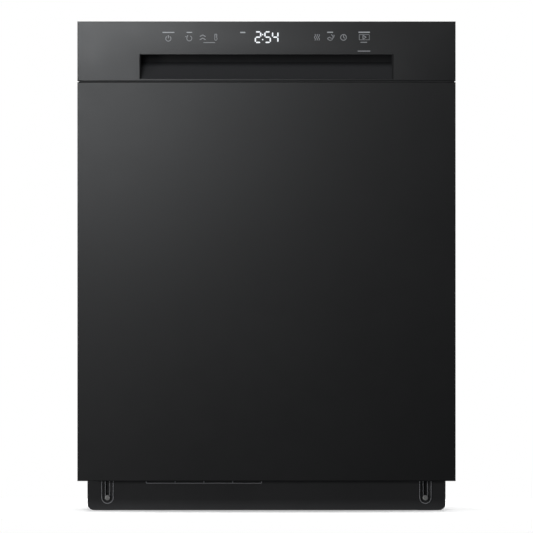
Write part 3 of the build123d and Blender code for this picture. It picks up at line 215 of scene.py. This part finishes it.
def lit(name, color, strength):
    """Printed or lit mark: a soft glow that varies a little along its length. On a lit mark the glow is its lamp;
    on a printed mark it is a painted glow.
    """
    s = Shader(name, color, 0.4)
    s.tint(s.noise(300, 2), tuple(c * 0.85 for c in color), color)
    s.bsdf.inputs["Emission Color"].default_value = (*color, 1)
    s.bsdf.inputs["Emission Strength"].default_value = strength
    return s.mat


MATERIALS = {
    "door_skin": coated_steel("door_skin", 0.010, 0.42, 0.44),
    "fascia": coated_steel("fascia", 0.012, 0.385, 0.405, 0.00001, 0.62),
    "black_plastic": recess_plastic("black_plastic"),
    "kick_coating": coated_steel("kick_coating", 0.055, 0.6, 0.7, 0.00006),
    "stainless": brushed("stainless", 0.50, (1, 1, 0.02), 0.42, 0.7),
    "galvanised": zinc_coated("galvanised"),
    "zinc_screw": brushed("zinc_screw", 0.80, (1, 1, 1), 0.34, 0.35),
    "grey_plastic": moulded("grey_plastic", (0.16, 0.17, 0.18), 0.42),
    "pale_plastic": moulded("pale_plastic", (0.55, 0.56, 0.57), 0.4),
    "white_plastic": moulded("white_plastic", (0.74, 0.75, 0.75), 0.36),
    "base_plastic": moulded("base_plastic", (0.022, 0.022, 0.023), 0.52, 500),
    "nylon_wire": moulded("nylon_wire", (0.20, 0.215, 0.23), 0.3, 250),
    "rubber_seal": rubber("rubber_seal"),
    "felt": felt("felt"),
    "motor_steel": coated_steel("motor_steel", 0.03, 0.35, 0.5, 0.00004),
    "spring_steel": brushed("spring_steel", 0.40, (1, 1, 1), 0.34),
    "leg_plastic": moulded("leg_plastic", (0.016, 0.016, 0.017), 0.5),
}
SLOT_OF = {row["node"]: row["material_slot"] for row in frame["record"]["subparts"]}


def smooth_modifier(obj, angle=math.radians(35)):
    """Joins the facets' shared corners and shades rounded parts smooth, up to an angle."""
    weld = obj.modifiers.new("weld", "WELD")
    weld.merge_threshold = 1e-6
    for face in obj.data.polygons:
        face.use_smooth = True
    split = obj.modifiers.new("split", "EDGE_SPLIT")
    split.split_angle = angle


for name, obj in NODES.items():
    obj.data.materials.clear()
    obj.data.materials.append(MATERIALS[SLOT_OF[name]])
    smooth_modifier(obj)


# ---------------------------------------------------------------- fascia marks
def mesh_object(name, build, material, body=None):
    """A piece made by build(bm), riding on a body if one is given."""
    bm = bmesh.new()
    build(bm)
    bmesh.ops.recalc_face_normals(bm, faces=bm.faces)
    mesh = bpy.data.meshes.new(name)
    bm.to_mesh(mesh)
    bm.free()
    obj = bpy.data.objects.new(name, mesh)
    bpy.context.scene.collection.objects.link(obj)
    obj.data.materials.append(material)
    if body:
        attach(obj, body)
    return obj


# The marks are laid out in millimetres: across from the door's middle, and down from its top edge.
MARK_PROUD, MARK_DEEP = 0.00015, 0.0001
LINE = 1.2  # width of a pictogram's lines
DIGIT_TOP, DIGIT_WIDTH, DIGIT_HEIGHT, DIGIT_LINE = 16.9, 8.45, 16.7, 2.15


def plate(bm, outline):
    """A thin closed plate on the fascia from layout points (across, down)."""
    points = [(u * MM, TOP - v * MM) for u, v in outline]
    front = [bm.verts.new((x, FRONT - MARK_PROUD, z)) for x, z in points]
    back = [bm.verts.new((x, FRONT + MARK_DEEP, z)) for x, z in points]
    bm.faces.new(front)
    bm.faces.new(list(reversed(back)))
    for i in range(len(points)):
        j = (i + 1) % len(points)
        bm.faces.new((front[i], back[i], back[j], front[j]))


def bar(bm, u0, u1, v, width):
    """A level bar with round ends."""
    r = width / 2
    steps = [math.pi / 2 + math.pi * i / 6 for i in range(7)]
    left = [(u0 + r + r * math.cos(a), v - r * math.sin(a)) for a in steps]
    right = [(u1 - r - r * math.cos(a), v + r * math.sin(a)) for a in steps]
    plate(bm, left + right)


def stroke(bm, points, width, closed=False):
    """A line of even width through points, as one plate per run with round joints."""
    pairs = list(zip(points, points[1:] + points[:1] if closed else points[1:]))
    for (u0, v0), (u1, v1) in pairs:
        run = math.hypot(u1 - u0, v1 - v0)
        du, dv = (u1 - u0) / run, (v1 - v0) / run
        nu, nv = -dv * width / 2, du * width / 2
        end = width * 0.18
        outline = [(u0 + nu, v0 + nv), (u0 - du * end, v0 - dv * end), (u0 - nu, v0 - nv)]
        outline += [(u1 - nu, v1 - nv), (u1 + du * end, v1 + dv * end), (u1 + nu, v1 + nv)]
        plate(bm, outline)


def arc(u, v, r, start, stop, steps=16):
    """Points on a circle, in degrees clockwise from the top."""
    angles = [math.radians(start + (stop - start) * i / steps) for i in range(steps + 1)]
    return [(u + r * math.sin(a), v - r * math.cos(a)) for a in angles]


SEGMENTS = {  # the seven segments of a digit, as (across, down, across, down) from 0 to 1
    "a": (0, 0, 1, 0), "b": (1, 0, 1, 0.5), "c": (1, 0.5, 1, 1), "d": (0, 1, 1, 1),
    "e": (0, 0.5, 0, 1), "f": (0, 0, 0, 0.5), "g": (0, 0.5, 1, 0.5),
}
DIGITS = {"2": "abged", "5": "afgcd", "4": "fgbc"}


def digit(bm, which, left):
    """One digit of the clock, from six-sided plates."""
    for key in DIGITS[which]:
        a, b, c, d = SEGMENTS[key]
        start = (left + a * DIGIT_WIDTH, DIGIT_TOP + b * DIGIT_HEIGHT)
        end = (left + c * DIGIT_WIDTH, DIGIT_TOP + d * DIGIT_HEIGHT)
        run = math.hypot(end[0] - start[0], end[1] - start[1])
        du, dv = (end[0] - start[0]) / run, (end[1] - start[1]) / run
        gap, h = DIGIT_LINE * 0.28, DIGIT_LINE / 2
        s = (start[0] + du * gap, start[1] + dv * gap)
        e = (end[0] - du * gap, end[1] - dv * gap)
        nu, nv = -dv * h, du * h
        outline = [s, (s[0] + du * h + nu, s[1] + dv * h + nv), (e[0] - du * h + nu, e[1] - dv * h + nv)]
        outline += [e, (e[0] - du * h - nu, e[1] - dv * h - nv), (s[0] + du * h - nu, s[1] + dv * h - nv)]
        plate(bm, outline)


def clock_digits(bm):
    for which, left in (("2", -17.7), ("5", -2.4), ("4", 9.7)):
        digit(bm, which, left)
    for v in (21.2, 29.2):
        bar(bm, -7.2, -4.9, v, 2.1)


def status_bars(bm):
    """Bars over the power, cycle, delay and start marks, and one beside the clock."""
    bar(bm, -165.8, -146.7, 17.7, 1.5)
    bar(bm, -127.4, -118.4, 17.7, 1.5)
    bar(bm, -42.1, -33.5, 17.8, 2.1)
    bar(bm, 96.6, 106.3, 17.5, 1.75)
    bar(bm, 146.5, 165.0, 17.5, 1.9)


def touch_marks(bm):
    """Generic pictograms, each drawn round its own middle (u, v)."""
    u, v = -156.5, 27.55  # power
    stroke(bm, arc(u, v, 4.15, 35, 325), LINE)
    stroke(bm, [(u, v - 5.3), (u, v - 0.6)], LINE)
    u, v = -123.05, 27.25  # cycle
    stroke(bm, arc(u, v, 4.0, 20, 300), LINE)
    stroke(bm, [(u - 6.2, v - 3.0), (u - 3.2, v - 1.9), (u - 2.55, v - 5.1)], LINE)
    u, v = -101.7, 25.65  # wash level
    for step in (-3.0, 2.1):
        stroke(bm, [(u - 4.45, v + step + 1.6), (u, v + step - 0.95), (u + 4.45, v + step + 1.6)], LINE)
    u, v = -80.8, 25.35  # heat
    stroke(bm, arc(u, v + 2.7, 2.1, 30, 330), LINE)
    stroke(bm, [(u - 1.45, v + 0.8), (u - 1.45, v - 4.8), (u + 1.45, v - 4.8), (u + 1.45, v + 0.8)], LINE)
    bar(bm, -100.6, -82.1, 33.95, 0.95)
    u, v = 80.5, 25.5  # extra dry
    for i in (-1, 0, 1):
        wave = [(u + 3.2 * i + 0.8 * math.sin(k * 1.2), v - 4.8 + 1.2 * k) for k in range(9)]
        stroke(bm, wave, LINE * 0.9)
    u, v = 101.55, 25.65  # night
    stroke(bm, arc(u, v, 4.6, 20, 250) + arc(u + 2.55, v - 2.25, 3.65, 240, 60, 10), LINE)
    u, v = 122.75, 25.65  # delay
    stroke(bm, arc(u, v, 4.6, 0, 360), LINE)
    stroke(bm, [(u, v - 3.2), (u, v), (u + 2.4, v + 1.45)], LINE)
    u, v = 155.9, 25.35  # start
    stroke(bm, [(u - 2.1, v - 3.0), (u + 3.0, v), (u - 2.1, v + 3.0)], LINE, closed=True)
    w, h = 8.0, 4.15
    stroke(bm, [(u - w, v - h), (u + w, v - h), (u + w, v + h), (u - w, v + h)], LINE * 0.6, closed=True)
    bar(bm, 149.7, 160.5, 33.45, 1.3)
    bar(bm, 145.2, 165.6, 47.5, 1.3)


mesh_object("clock_digits", clock_digits, lit("clock_light", (0.92, 0.95, 0.98), 0.55), "door")
mesh_object("status_bars", status_bars, lit("bar_light", (0.52, 0.54, 0.56), 0.08), "door")
# Painted light: the printed pictograms glow faintly, though nothing behind them is lit.
mesh_object("touch_marks", touch_marks, lit("print_with_painted_glow", (0.42, 0.43, 0.45), 0.05), "door")


# ---------------------------------------------------------------- kick plate and window edges
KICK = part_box("kick_plate")
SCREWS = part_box("kick_plate_screws")
SCREW_HEAD_R = 0.0043
SLOT_X, SLOT_Z = SCREWS[1].x - SCREW_HEAD_R, (SCREWS[0].z + SCREWS[1].z) / 2
RIM_R_OUTER, RIM_R_INNER = 0.0091, 0.0035  # middle lines of the two rims round a slot
RIM_FRONT = KICK[0].y
KICK_FACE = RIM_FRONT + 0.0007  # the plate behind its raised rims
CELL_LEFT, CELL_PITCH, CELLS = -0.192, 0.046, 4
CELL_BOTTOM, CELL_SIDE = 0.0434, 0.030
WINDOW_TOP, WINDOW_HALF = TOP - 0.0521, 0.2005
SEAM_HALF, SEAM_DEPTH = 0.2985, 0.0035


def thin_band(bm, path, y, width, proud):
    """A thin strip of even width along (x, z) points, standing proud of the plane at y."""
    rows = []
    for i, (x, z) in enumerate(path):
        x0, z0 = path[max(i - 1, 0)]
        x1, z1 = path[min(i + 1, len(path) - 1)]
        run = math.hypot(x1 - x0, z1 - z0)
        nx, nz = -(z1 - z0) / run * width / 2, (x1 - x0) / run * width / 2
        rows.append([
            bm.verts.new((x + nx, y, z + nz)), bm.verts.new((x + nx * 0.5, y - proud, z + nz * 0.5)),
            bm.verts.new((x - nx * 0.5, y - proud, z - nz * 0.5)), bm.verts.new((x - nx, y, z - nz)),
        ])
    for a, b in zip(rows, rows[1:]):
        for k in range(4):
            bm.faces.new((a[k], a[(k + 1) % 4], b[(k + 1) % 4], b[k]))
    bm.faces.new(list(reversed(rows[0])))
    bm.faces.new(rows[-1])


def slot_path(x, z, radius, top):
    """Down one side of an upright slot, round its lower end and up the other side."""
    turn = [math.radians(180 + 180 * k / 14) for k in range(15)]
    round_end = [(x + radius * math.cos(a), z + radius * math.sin(a)) for a in turn]
    return [(x - radius, top)] + round_end + [(x + radius, top)]


def kick_edges(bm):
    """Pale strips along the slots' rims and the lips round the row of pressed cells, coloured as painted
    highlights of their edges.
    """
    top = KICK[1].z - 0.002
    for x in (-SLOT_X, SLOT_X):
        thin_band(bm, slot_path(x, SLOT_Z, RIM_R_OUTER, top), RIM_FRONT + 0.0001, 0.0013, 0.00045)
        thin_band(bm, slot_path(x, SLOT_Z, RIM_R_INNER, top), KICK_FACE + 0.0008, 0.0012, 0.00015)
    right = CELL_LEFT + CELLS * CELL_PITCH
    thin_band(bm, [(CELL_LEFT, CELL_BOTTOM), (right, CELL_BOTTOM)], KICK_FACE + 0.0001, 0.0013, 0.0005)
    for i in range(CELLS + 1):
        x = CELL_LEFT + i * CELL_PITCH
        side = [(x, CELL_BOTTOM), (x, CELL_BOTTOM + CELL_SIDE)]
        thin_band(bm, side, KICK_FACE + 0.0001, 0.0016, 0.0005)


def window_bead(bm):
    """Rolled edge along the top of the handle's window, coloured pale as a painted highlight."""
    line = [(-WINDOW_HALF, WINDOW_TOP), (WINDOW_HALF, WINDOW_TOP)]
    thin_band(bm, line, FRONT + 0.0006, 0.0012, 0.0005)


def seam_seal(bm):
    """Foam strip that closes the seam between the fascia and the door's sheet."""
    low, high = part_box("door_outer_panel")[1].z - 0.0006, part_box("control_panel")[0].z + 0.0006
    middle = (low + high) / 2
    thin_band(bm, [(-SEAM_HALF, middle), (SEAM_HALF, middle)], FRONT + SEAM_DEPTH, high - low, 0.0012)


# Painted highlight: the kick plate's edge strips get a pale coating that stands in for the light their rims catch.
painted_highlight_edges = coated_steel("painted_highlight_edges", 0.6, 0.45, 0.55, 0.00003)
# Painted highlight: the window's bead gets a pale coating that stands in for the light along the window's top
# edge.
painted_highlight_bead = coated_steel("painted_highlight_bead", 0.13, 0.45, 0.55, 0.00003)
mesh_object("kick_edges", kick_edges, painted_highlight_edges, "kick_plate")
mesh_object("window_bead", window_bead, painted_highlight_bead, "door")
mesh_object("seam_seal", seam_seal, MATERIALS["rubber_seal"], "door")


# ---------------------------------------------------------------- bent wire
def tube_along(bm, points, radius, sides=10, closed=False):
    """A round tube through points, with its ends closed or joined up."""
    count, rings, up = len(points), [], Vector((0.3, 0.2, 1)).normalized()
    for i, p in enumerate(points):
        if closed:
            ahead = points[(i + 1) % count] - points[i - 1]
        else:
            ahead = points[min(i + 1, count - 1)] - points[max(i - 1, 0)]
        ahead.normalize()
        side = ahead.cross(up).normalized()
        up = side.cross(ahead).normalized()
        ring = []
        for k in range(sides):
            a = 2 * math.pi * k / sides
            ring.append(bm.verts.new(p + side * (radius * math.cos(a)) + up * (radius * math.sin(a))))
        rings.append(ring)
    for a, b in zip(rings, rings[1:] + rings[:1] if closed else rings[1:]):
        for k in range(sides):
            j = (k + 1) % sides
            bm.faces.new((a[k], a[j], b[j], b[k]))
    if not closed:
        bm.faces.new(list(reversed(rings[0])))
        bm.faces.new(rings[-1])


def bent_path(points, bend, closed=False, steps=5):
    """Points with each corner rounded to the bend radius."""
    made = []
    for i, corner in enumerate(points):
        if not closed and i in (0, len(points) - 1):
            made.append(corner)
            continue
        before = (points[i - 1] - corner).normalized()
        after = (points[(i + 1) % len(points)] - corner).normalized()
        half = before.angle(after) / 2
        reach = bend / math.tan(half)
        centre = corner + (before + after).normalized() * (bend / math.sin(half))
        start, end = corner + before * reach - centre, corner + after * reach - centre
        turn = start.angle(end)
        for k in range(steps + 1):
            made.append(centre + Quaternion(start.cross(end), turn * k / steps) @ start)
    return made


def wire(bm, corners, radius, bend=0.012, closed=False):
    """A round wire through corners, each rounded to the bend radius."""
    points = [Vector(c) for c in corners]
    if len(points) > 2:
        points = bent_path(points, bend, closed)
    tube_along(bm, points, radius, 10, closed)


def tine(bm, foot, top, radius):
    """An upright wire with a round tip."""
    foot, top = Vector(foot), Vector(top)
    tip = top + Vector((0, 0, -radius))
    tube_along(bm, [foot, tip], radius)
    bmesh.ops.create_uvsphere(bm, u_segments=10, v_segments=6, radius=radius, matrix=Matrix.Translation(tip))


WIRE_R, RIM_R, WELD = 0.0020, 0.0027, 0.0034  # WELD is between the middles of two welded wires
RIM_BEND = 0.03
END_ACROSS, END_ALONG = 0.014, 0.018  # from the basket's end or side to its first wire
LOWER_LEAN, UPPER_LEAN = 0.030, 0.010  # how far the fronts lean out at the rim
LOWER_LOOP, UPPER_LOOP = 0.060, 0.046  # from the rim down to the second loop
TINE_XS = [-0.210 + i * 0.035 for i in range(13)]
TINE_BAR_R = 0.0024
FIXED_TINE_Y, FIXED_TINE_HEIGHT = 0.168, 0.0832
UPPER_TINE_XS, UPPER_TINE_PITCH, UPPER_TINE_HEIGHT = (-0.096, 0.0, 0.096), 0.046, 0.064
SHELF_YS, SHELF_RISE = (-0.156, 0.156), 0.076  # bearings of the cup shelves' rods
SHELF_ROD_X, BEARING_MIDDLE_X, BEARING_END_X = 0.212, 0.218, 0.2252
BEARING_R, BEARING_HALF, BEARING_EDGE = 0.0068, 0.003, 0.0006


def basket(bm, half, y, floor, rim, lean, across, along, loops):
    """Welded wire basket: U wires across, U wires front to back, and level loops."""
    z_long = floor + WELD
    for i in range(across):
        at = y[0] + END_ACROSS + i * (y[1] - y[0] - 2 * END_ACROSS) / (across - 1)
        wire(bm, [(-half, at, rim), (-half, at, floor), (half, at, floor), (half, at, rim)], WIRE_R)
    for i in range(along):
        x = -half + END_ALONG + i * (2 * half - 2 * END_ALONG) / (along - 1)
        corners = [(x, y[0] - lean, rim), (x, y[0], z_long), (x, y[1], z_long), (x, y[1], rim)]
        wire(bm, corners, WIRE_R)
    for z in loops:
        front = y[0] - lean * (z - z_long) / (rim - z_long) - WELD
        x, back = half + WELD, y[1] + WELD
        corners = [(-x, front, z), (x, front, z), (x, back, z), (-x, back, z)]
        wire(bm, corners, RIM_R, RIM_BEND, closed=True)


def lower_basket(bm):
    """Lower rack: the basket and a fixed row of tines at the back."""
    low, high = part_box("lower_basket")
    half = high.x - RIM_R - WELD
    back, rim = high.y - RIM_R - WELD, high.z - RIM_R
    front, floor = low.y + RIM_R + WELD + LOWER_LEAN, low.z + WIRE_R
    basket(bm, half, (front, back), floor, rim, LOWER_LEAN, 10, 10, (rim, rim - LOWER_LOOP))
    bar_z, bar_half, y = floor + 2 * WELD, half - 0.006, FIXED_TINE_Y
    wire(bm, [(-bar_half, y, bar_z), (bar_half, y, bar_z)], WIRE_R)
    for x in TINE_XS:
        tine(bm, (x, y, bar_z), (x, y, bar_z + FIXED_TINE_HEIGHT), WIRE_R)


def upper_basket(bm):
    """Upper rack: the basket, three rows of tines and the cup shelves' bearings."""
    low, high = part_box("upper_basket")
    half = high.x - RIM_R - WELD
    back, rim = high.y - RIM_R - WELD, high.z - RIM_R
    front = low.y + RIM_R + WELD + UPPER_LEAN
    floor = low.z + WIRE_R + WELD
    basket(bm, half, (front, back), floor, rim, UPPER_LEAN, 8, 10, (rim, rim - UPPER_LOOP))
    bar_z = floor - WELD
    for x in UPPER_TINE_XS:
        wire(bm, [(x, front + 0.010, bar_z), (x, back - 0.010, bar_z)], WIRE_R)
        for i in range(8):
            y = front + 0.044 + i * UPPER_TINE_PITCH
            tine(bm, (x, y, bar_z), (x, y, floor + UPPER_TINE_HEIGHT), WIRE_R)
    for side in (-1, 1):
        for y in SHELF_YS:
            wire(bm, [(side * half, y, rim), (side * half, y, rim - UPPER_LOOP - 0.001)], WIRE_R)
            bearing(bm, side, y, floor + SHELF_RISE)


def bearing(bm, side, y, z):
    """Bearing block of a cup shelf's rod, on the basket's side, with eased edges."""
    r = BEARING_R
    turn = [math.radians(90 + 180 * k / 12) for k in range(13)]
    outline = [(SHELF_ROD_X + r * math.cos(a), z + r * math.sin(a)) for a in turn]
    outline += [(BEARING_END_X, z - r), (BEARING_END_X, z + r)]
    flat = BEARING_HALF - BEARING_EDGE
    rings = []
    for depth, ease in ((-BEARING_HALF, BEARING_EDGE), (-flat, 0), (flat, 0), (BEARING_HALF, BEARING_EDGE)):
        pull = ease / r
        points = [(u + (BEARING_MIDDLE_X - u) * pull, v + (z - v) * pull) for u, v in outline]
        rings.append([bm.verts.new((side * u, y + depth, v)) for u, v in points])
    for a, b in zip(rings, rings[1:]):
        for k in range(len(a)):
            j = (k + 1) % len(a)
            bm.faces.new((a[k], a[j], b[j], b[k]))
    bm.faces.new(list(reversed(rings[0])))
    bm.faces.new(rings[-1])


def tine_row(bm, node):
    """Folding row: a bar with its tines."""
    low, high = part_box(node)
    y, bar_z = (low.y + high.y) / 2, low.z + TINE_BAR_R
    wire(bm, [(low.x, y, bar_z), (high.x, y, bar_z)], TINE_BAR_R)
    for x in TINE_XS:
        tine(bm, (x, y, bar_z), (x, y, high.z), WIRE_R)


def round_shading(obj):
    """Smooth sides, and flat ends."""
    for face in obj.data.polygons:
        face.use_smooth = len(face.vertices) == 4
    return obj


for name, build, node, body in (
    ("lower_rack_wires", lower_basket, "lower_basket", "lower_rack"),
    ("upper_rack_wires", upper_basket, "upper_basket", "upper_rack"),
    ("front_tine_wires", lambda bm: tine_row(bm, "tine_row_front"), "tine_row_front", "tine_row_front"),
    ("rear_tine_wires", lambda bm: tine_row(bm, "tine_row_rear"), "tine_row_rear", "tine_row_rear"),
):
    made = round_shading(mesh_object(name, build, MATERIALS["nylon_wire"], body))
    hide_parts(node)


# ---------------------------------------------------------------- balance springs
SPRING_X, POST_Y, POST_Z = 0.2936, -0.084, 0.0545
TAIL_REACH = 0.034  # from the hinge's pin to the hole in the arm's tail
SPRING_WIRE_R, COIL_R, LOOP_R = 0.0011, 0.0054, 0.004
COIL_GAP, COIL_LENGTH, COIL_TURNS, COIL_STEPS = 0.012, 0.090, 34, 14
HOOK_IN = (0.0015, 0.0065)  # how far the hook goes sideways into the hole


def spring_line(tail, post, side):
    """The wire's middle line: loop round the post, coils, bar and a hook through the tail."""
    along = (tail - post).normalized()
    out = Vector((side, 0, 0))
    across = along.cross(out).normalized()
    points = []
    for i in range(17):
        a = math.radians(200 - 340 * i / 16)
        points.append(post + along * (LOOP_R * math.cos(a)) + across * (LOOP_R * math.sin(a)))
    start, count = post + along * COIL_GAP, COIL_TURNS * COIL_STEPS
    for i in range(count + 1):
        a = 2 * math.pi * i / COIL_STEPS
        middle = start + along * (COIL_LENGTH * i / count)
        points.append(middle + out * (COIL_R * math.sin(a)) + across * (COIL_R * math.cos(a)))
    bar_start = start + along * (COIL_LENGTH + COIL_GAP)
    for i in range(25):
        points.append(bar_start.lerp(tail, i / 24))
    for reach in HOOK_IN:
        points.append(tail - out * reach)
    return points


hinge = next(j for j in frame["joints"] if j["name"] == "door_hinge")["pos_m"]
for side, word in ((-1, "left"), (1, "right")):
    tail = Vector((side * SPRING_X, hinge[1] + TAIL_REACH, hinge[2]))
    post = Vector((side * SPRING_X, POST_Y, POST_Z))
    spring = mesh_object(
        f"balance_spring_{word}",
        lambda bm, t=tail, p=post, s=side: tube_along(bm, spring_line(t, p, s), SPRING_WIRE_R),
        MATERIALS["spring_steel"],
    )
    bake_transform(spring)
    if side == -1:
        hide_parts("door_springs")


# ---------------------------------------------------------------- stage, lights and camera
def stage_floor():
    bm = bmesh.new()
    bmesh.ops.create_circle(bm, cap_ends=True, segments=96, radius=1.3)
    mesh = bpy.data.meshes.new("floor")
    bm.to_mesh(mesh)
    bm.free()
    floor = bpy.data.objects.new("floor", mesh)
    bpy.context.scene.collection.objects.link(floor)
    s = Shader("floor_paper", (0.9, 0.9, 0.9), 0.9)
    s.tint(s.noise(3, 3), (0.89, 0.89, 0.89), (0.91, 0.91, 0.91))
    s.bsdf.inputs["Specular IOR Level"].default_value = 0.0
    s.bsdf.inputs["Emission Color"].default_value = (1, 1, 1, 1)
    s.bsdf.inputs["Emission Strength"].default_value = 0.3
    floor.data.materials.append(s.mat)
    floor.visible_glossy = False
    floor.visible_diffuse = False


def area_light(name, place, target, size, watts, color=(1, 1, 1)):
    data = bpy.data.lights.new(name, "AREA")
    data.shape = "RECTANGLE"
    data.size, data.size_y = size
    data.energy = watts
    data.color = color
    obj = bpy.data.objects.new(name, data)
    obj.location = place
    obj.rotation_euler = (Vector(target) - Vector(place)).to_track_quat("-Z", "Y").to_euler()
    obj.visible_camera = False
    bpy.context.scene.collection.objects.link(obj)
    return obj


def studio_world(ambient):
    """White to the camera, and an even grey for everything that it lights."""
    world = bpy.data.worlds.new("studio")
    world.use_nodes = True
    tree = world.node_tree
    tree.nodes.clear()
    out = tree.nodes.new("ShaderNodeOutputWorld")
    mix = tree.nodes.new("ShaderNodeMixShader")
    seen = tree.nodes.new("ShaderNodeBackground")
    lights = tree.nodes.new("ShaderNodeBackground")
    path = tree.nodes.new("ShaderNodeLightPath")
    seen.inputs["Color"].default_value = (1, 1, 1, 1)
    lights.inputs["Color"].default_value = (0.94, 0.97, 1.0, 1)
    lights.inputs["Strength"].default_value = ambient
    tree.links.new(path.outputs["Is Camera Ray"], mix.inputs["Fac"])
    tree.links.new(lights.outputs["Background"], mix.inputs[1])
    tree.links.new(seen.outputs["Background"], mix.inputs[2])
    tree.links.new(mix.outputs["Shader"], out.inputs["Surface"])
    bpy.context.scene.world = world


stage_floor()
studio_world(0.05)
area_light("key", (-0.46, FRONT - 1.3, 0.88), (-0.40, FRONT, 0.82), (0.45, 0.45), 6.2, (0.95, 0.975, 1.0))
area_light("above", (-0.2, FRONT - 1.6, 1.62), (-0.1, FRONT, 0.7), (1.6, 0.3), 5.2)
area_light("low", (-1.8, -2.2, 0.12), (0, FRONT, 0.05), (0.6, 0.2), 13)
area_light("top", (0.0, 0.6, 2.6), (0, 0.2, 0.4), (2.4, 1.6), 85)
area_light("left", (-2.6, 0.9, 1.3), (0, 0.1, 0.4), (1.6, 1.6), 30)
area_light("right", (2.6, 0.9, 1.3), (0, 0.1, 0.4), (1.6, 1.6), 20)
area_light("back", (0.4, 3.0, 1.7), (0, 0, 0.4), (1.8, 1.6), 40)

DISTANCE = 30.0  # far back, for the flat look of a product picture
PICTURE_WIDTH = 0.8497  # what the picture spans at the door's face
EYE_HEIGHT = TOP - 0.3909
lens = bpy.data.cameras.new("camera")
lens.sensor_width = 36.0
lens.lens = lens.sensor_width * DISTANCE / PICTURE_WIDTH
lens.clip_end = 60.0
camera = bpy.data.objects.new("camera", lens)
camera.location = (0, FRONT - DISTANCE, EYE_HEIGHT)
camera.rotation_euler = (math.pi / 2, 0, 0)
bpy.context.scene.collection.objects.link(camera)
bpy.context.scene.camera = camera
bpy.context.scene.view_settings.view_transform = "Standard"
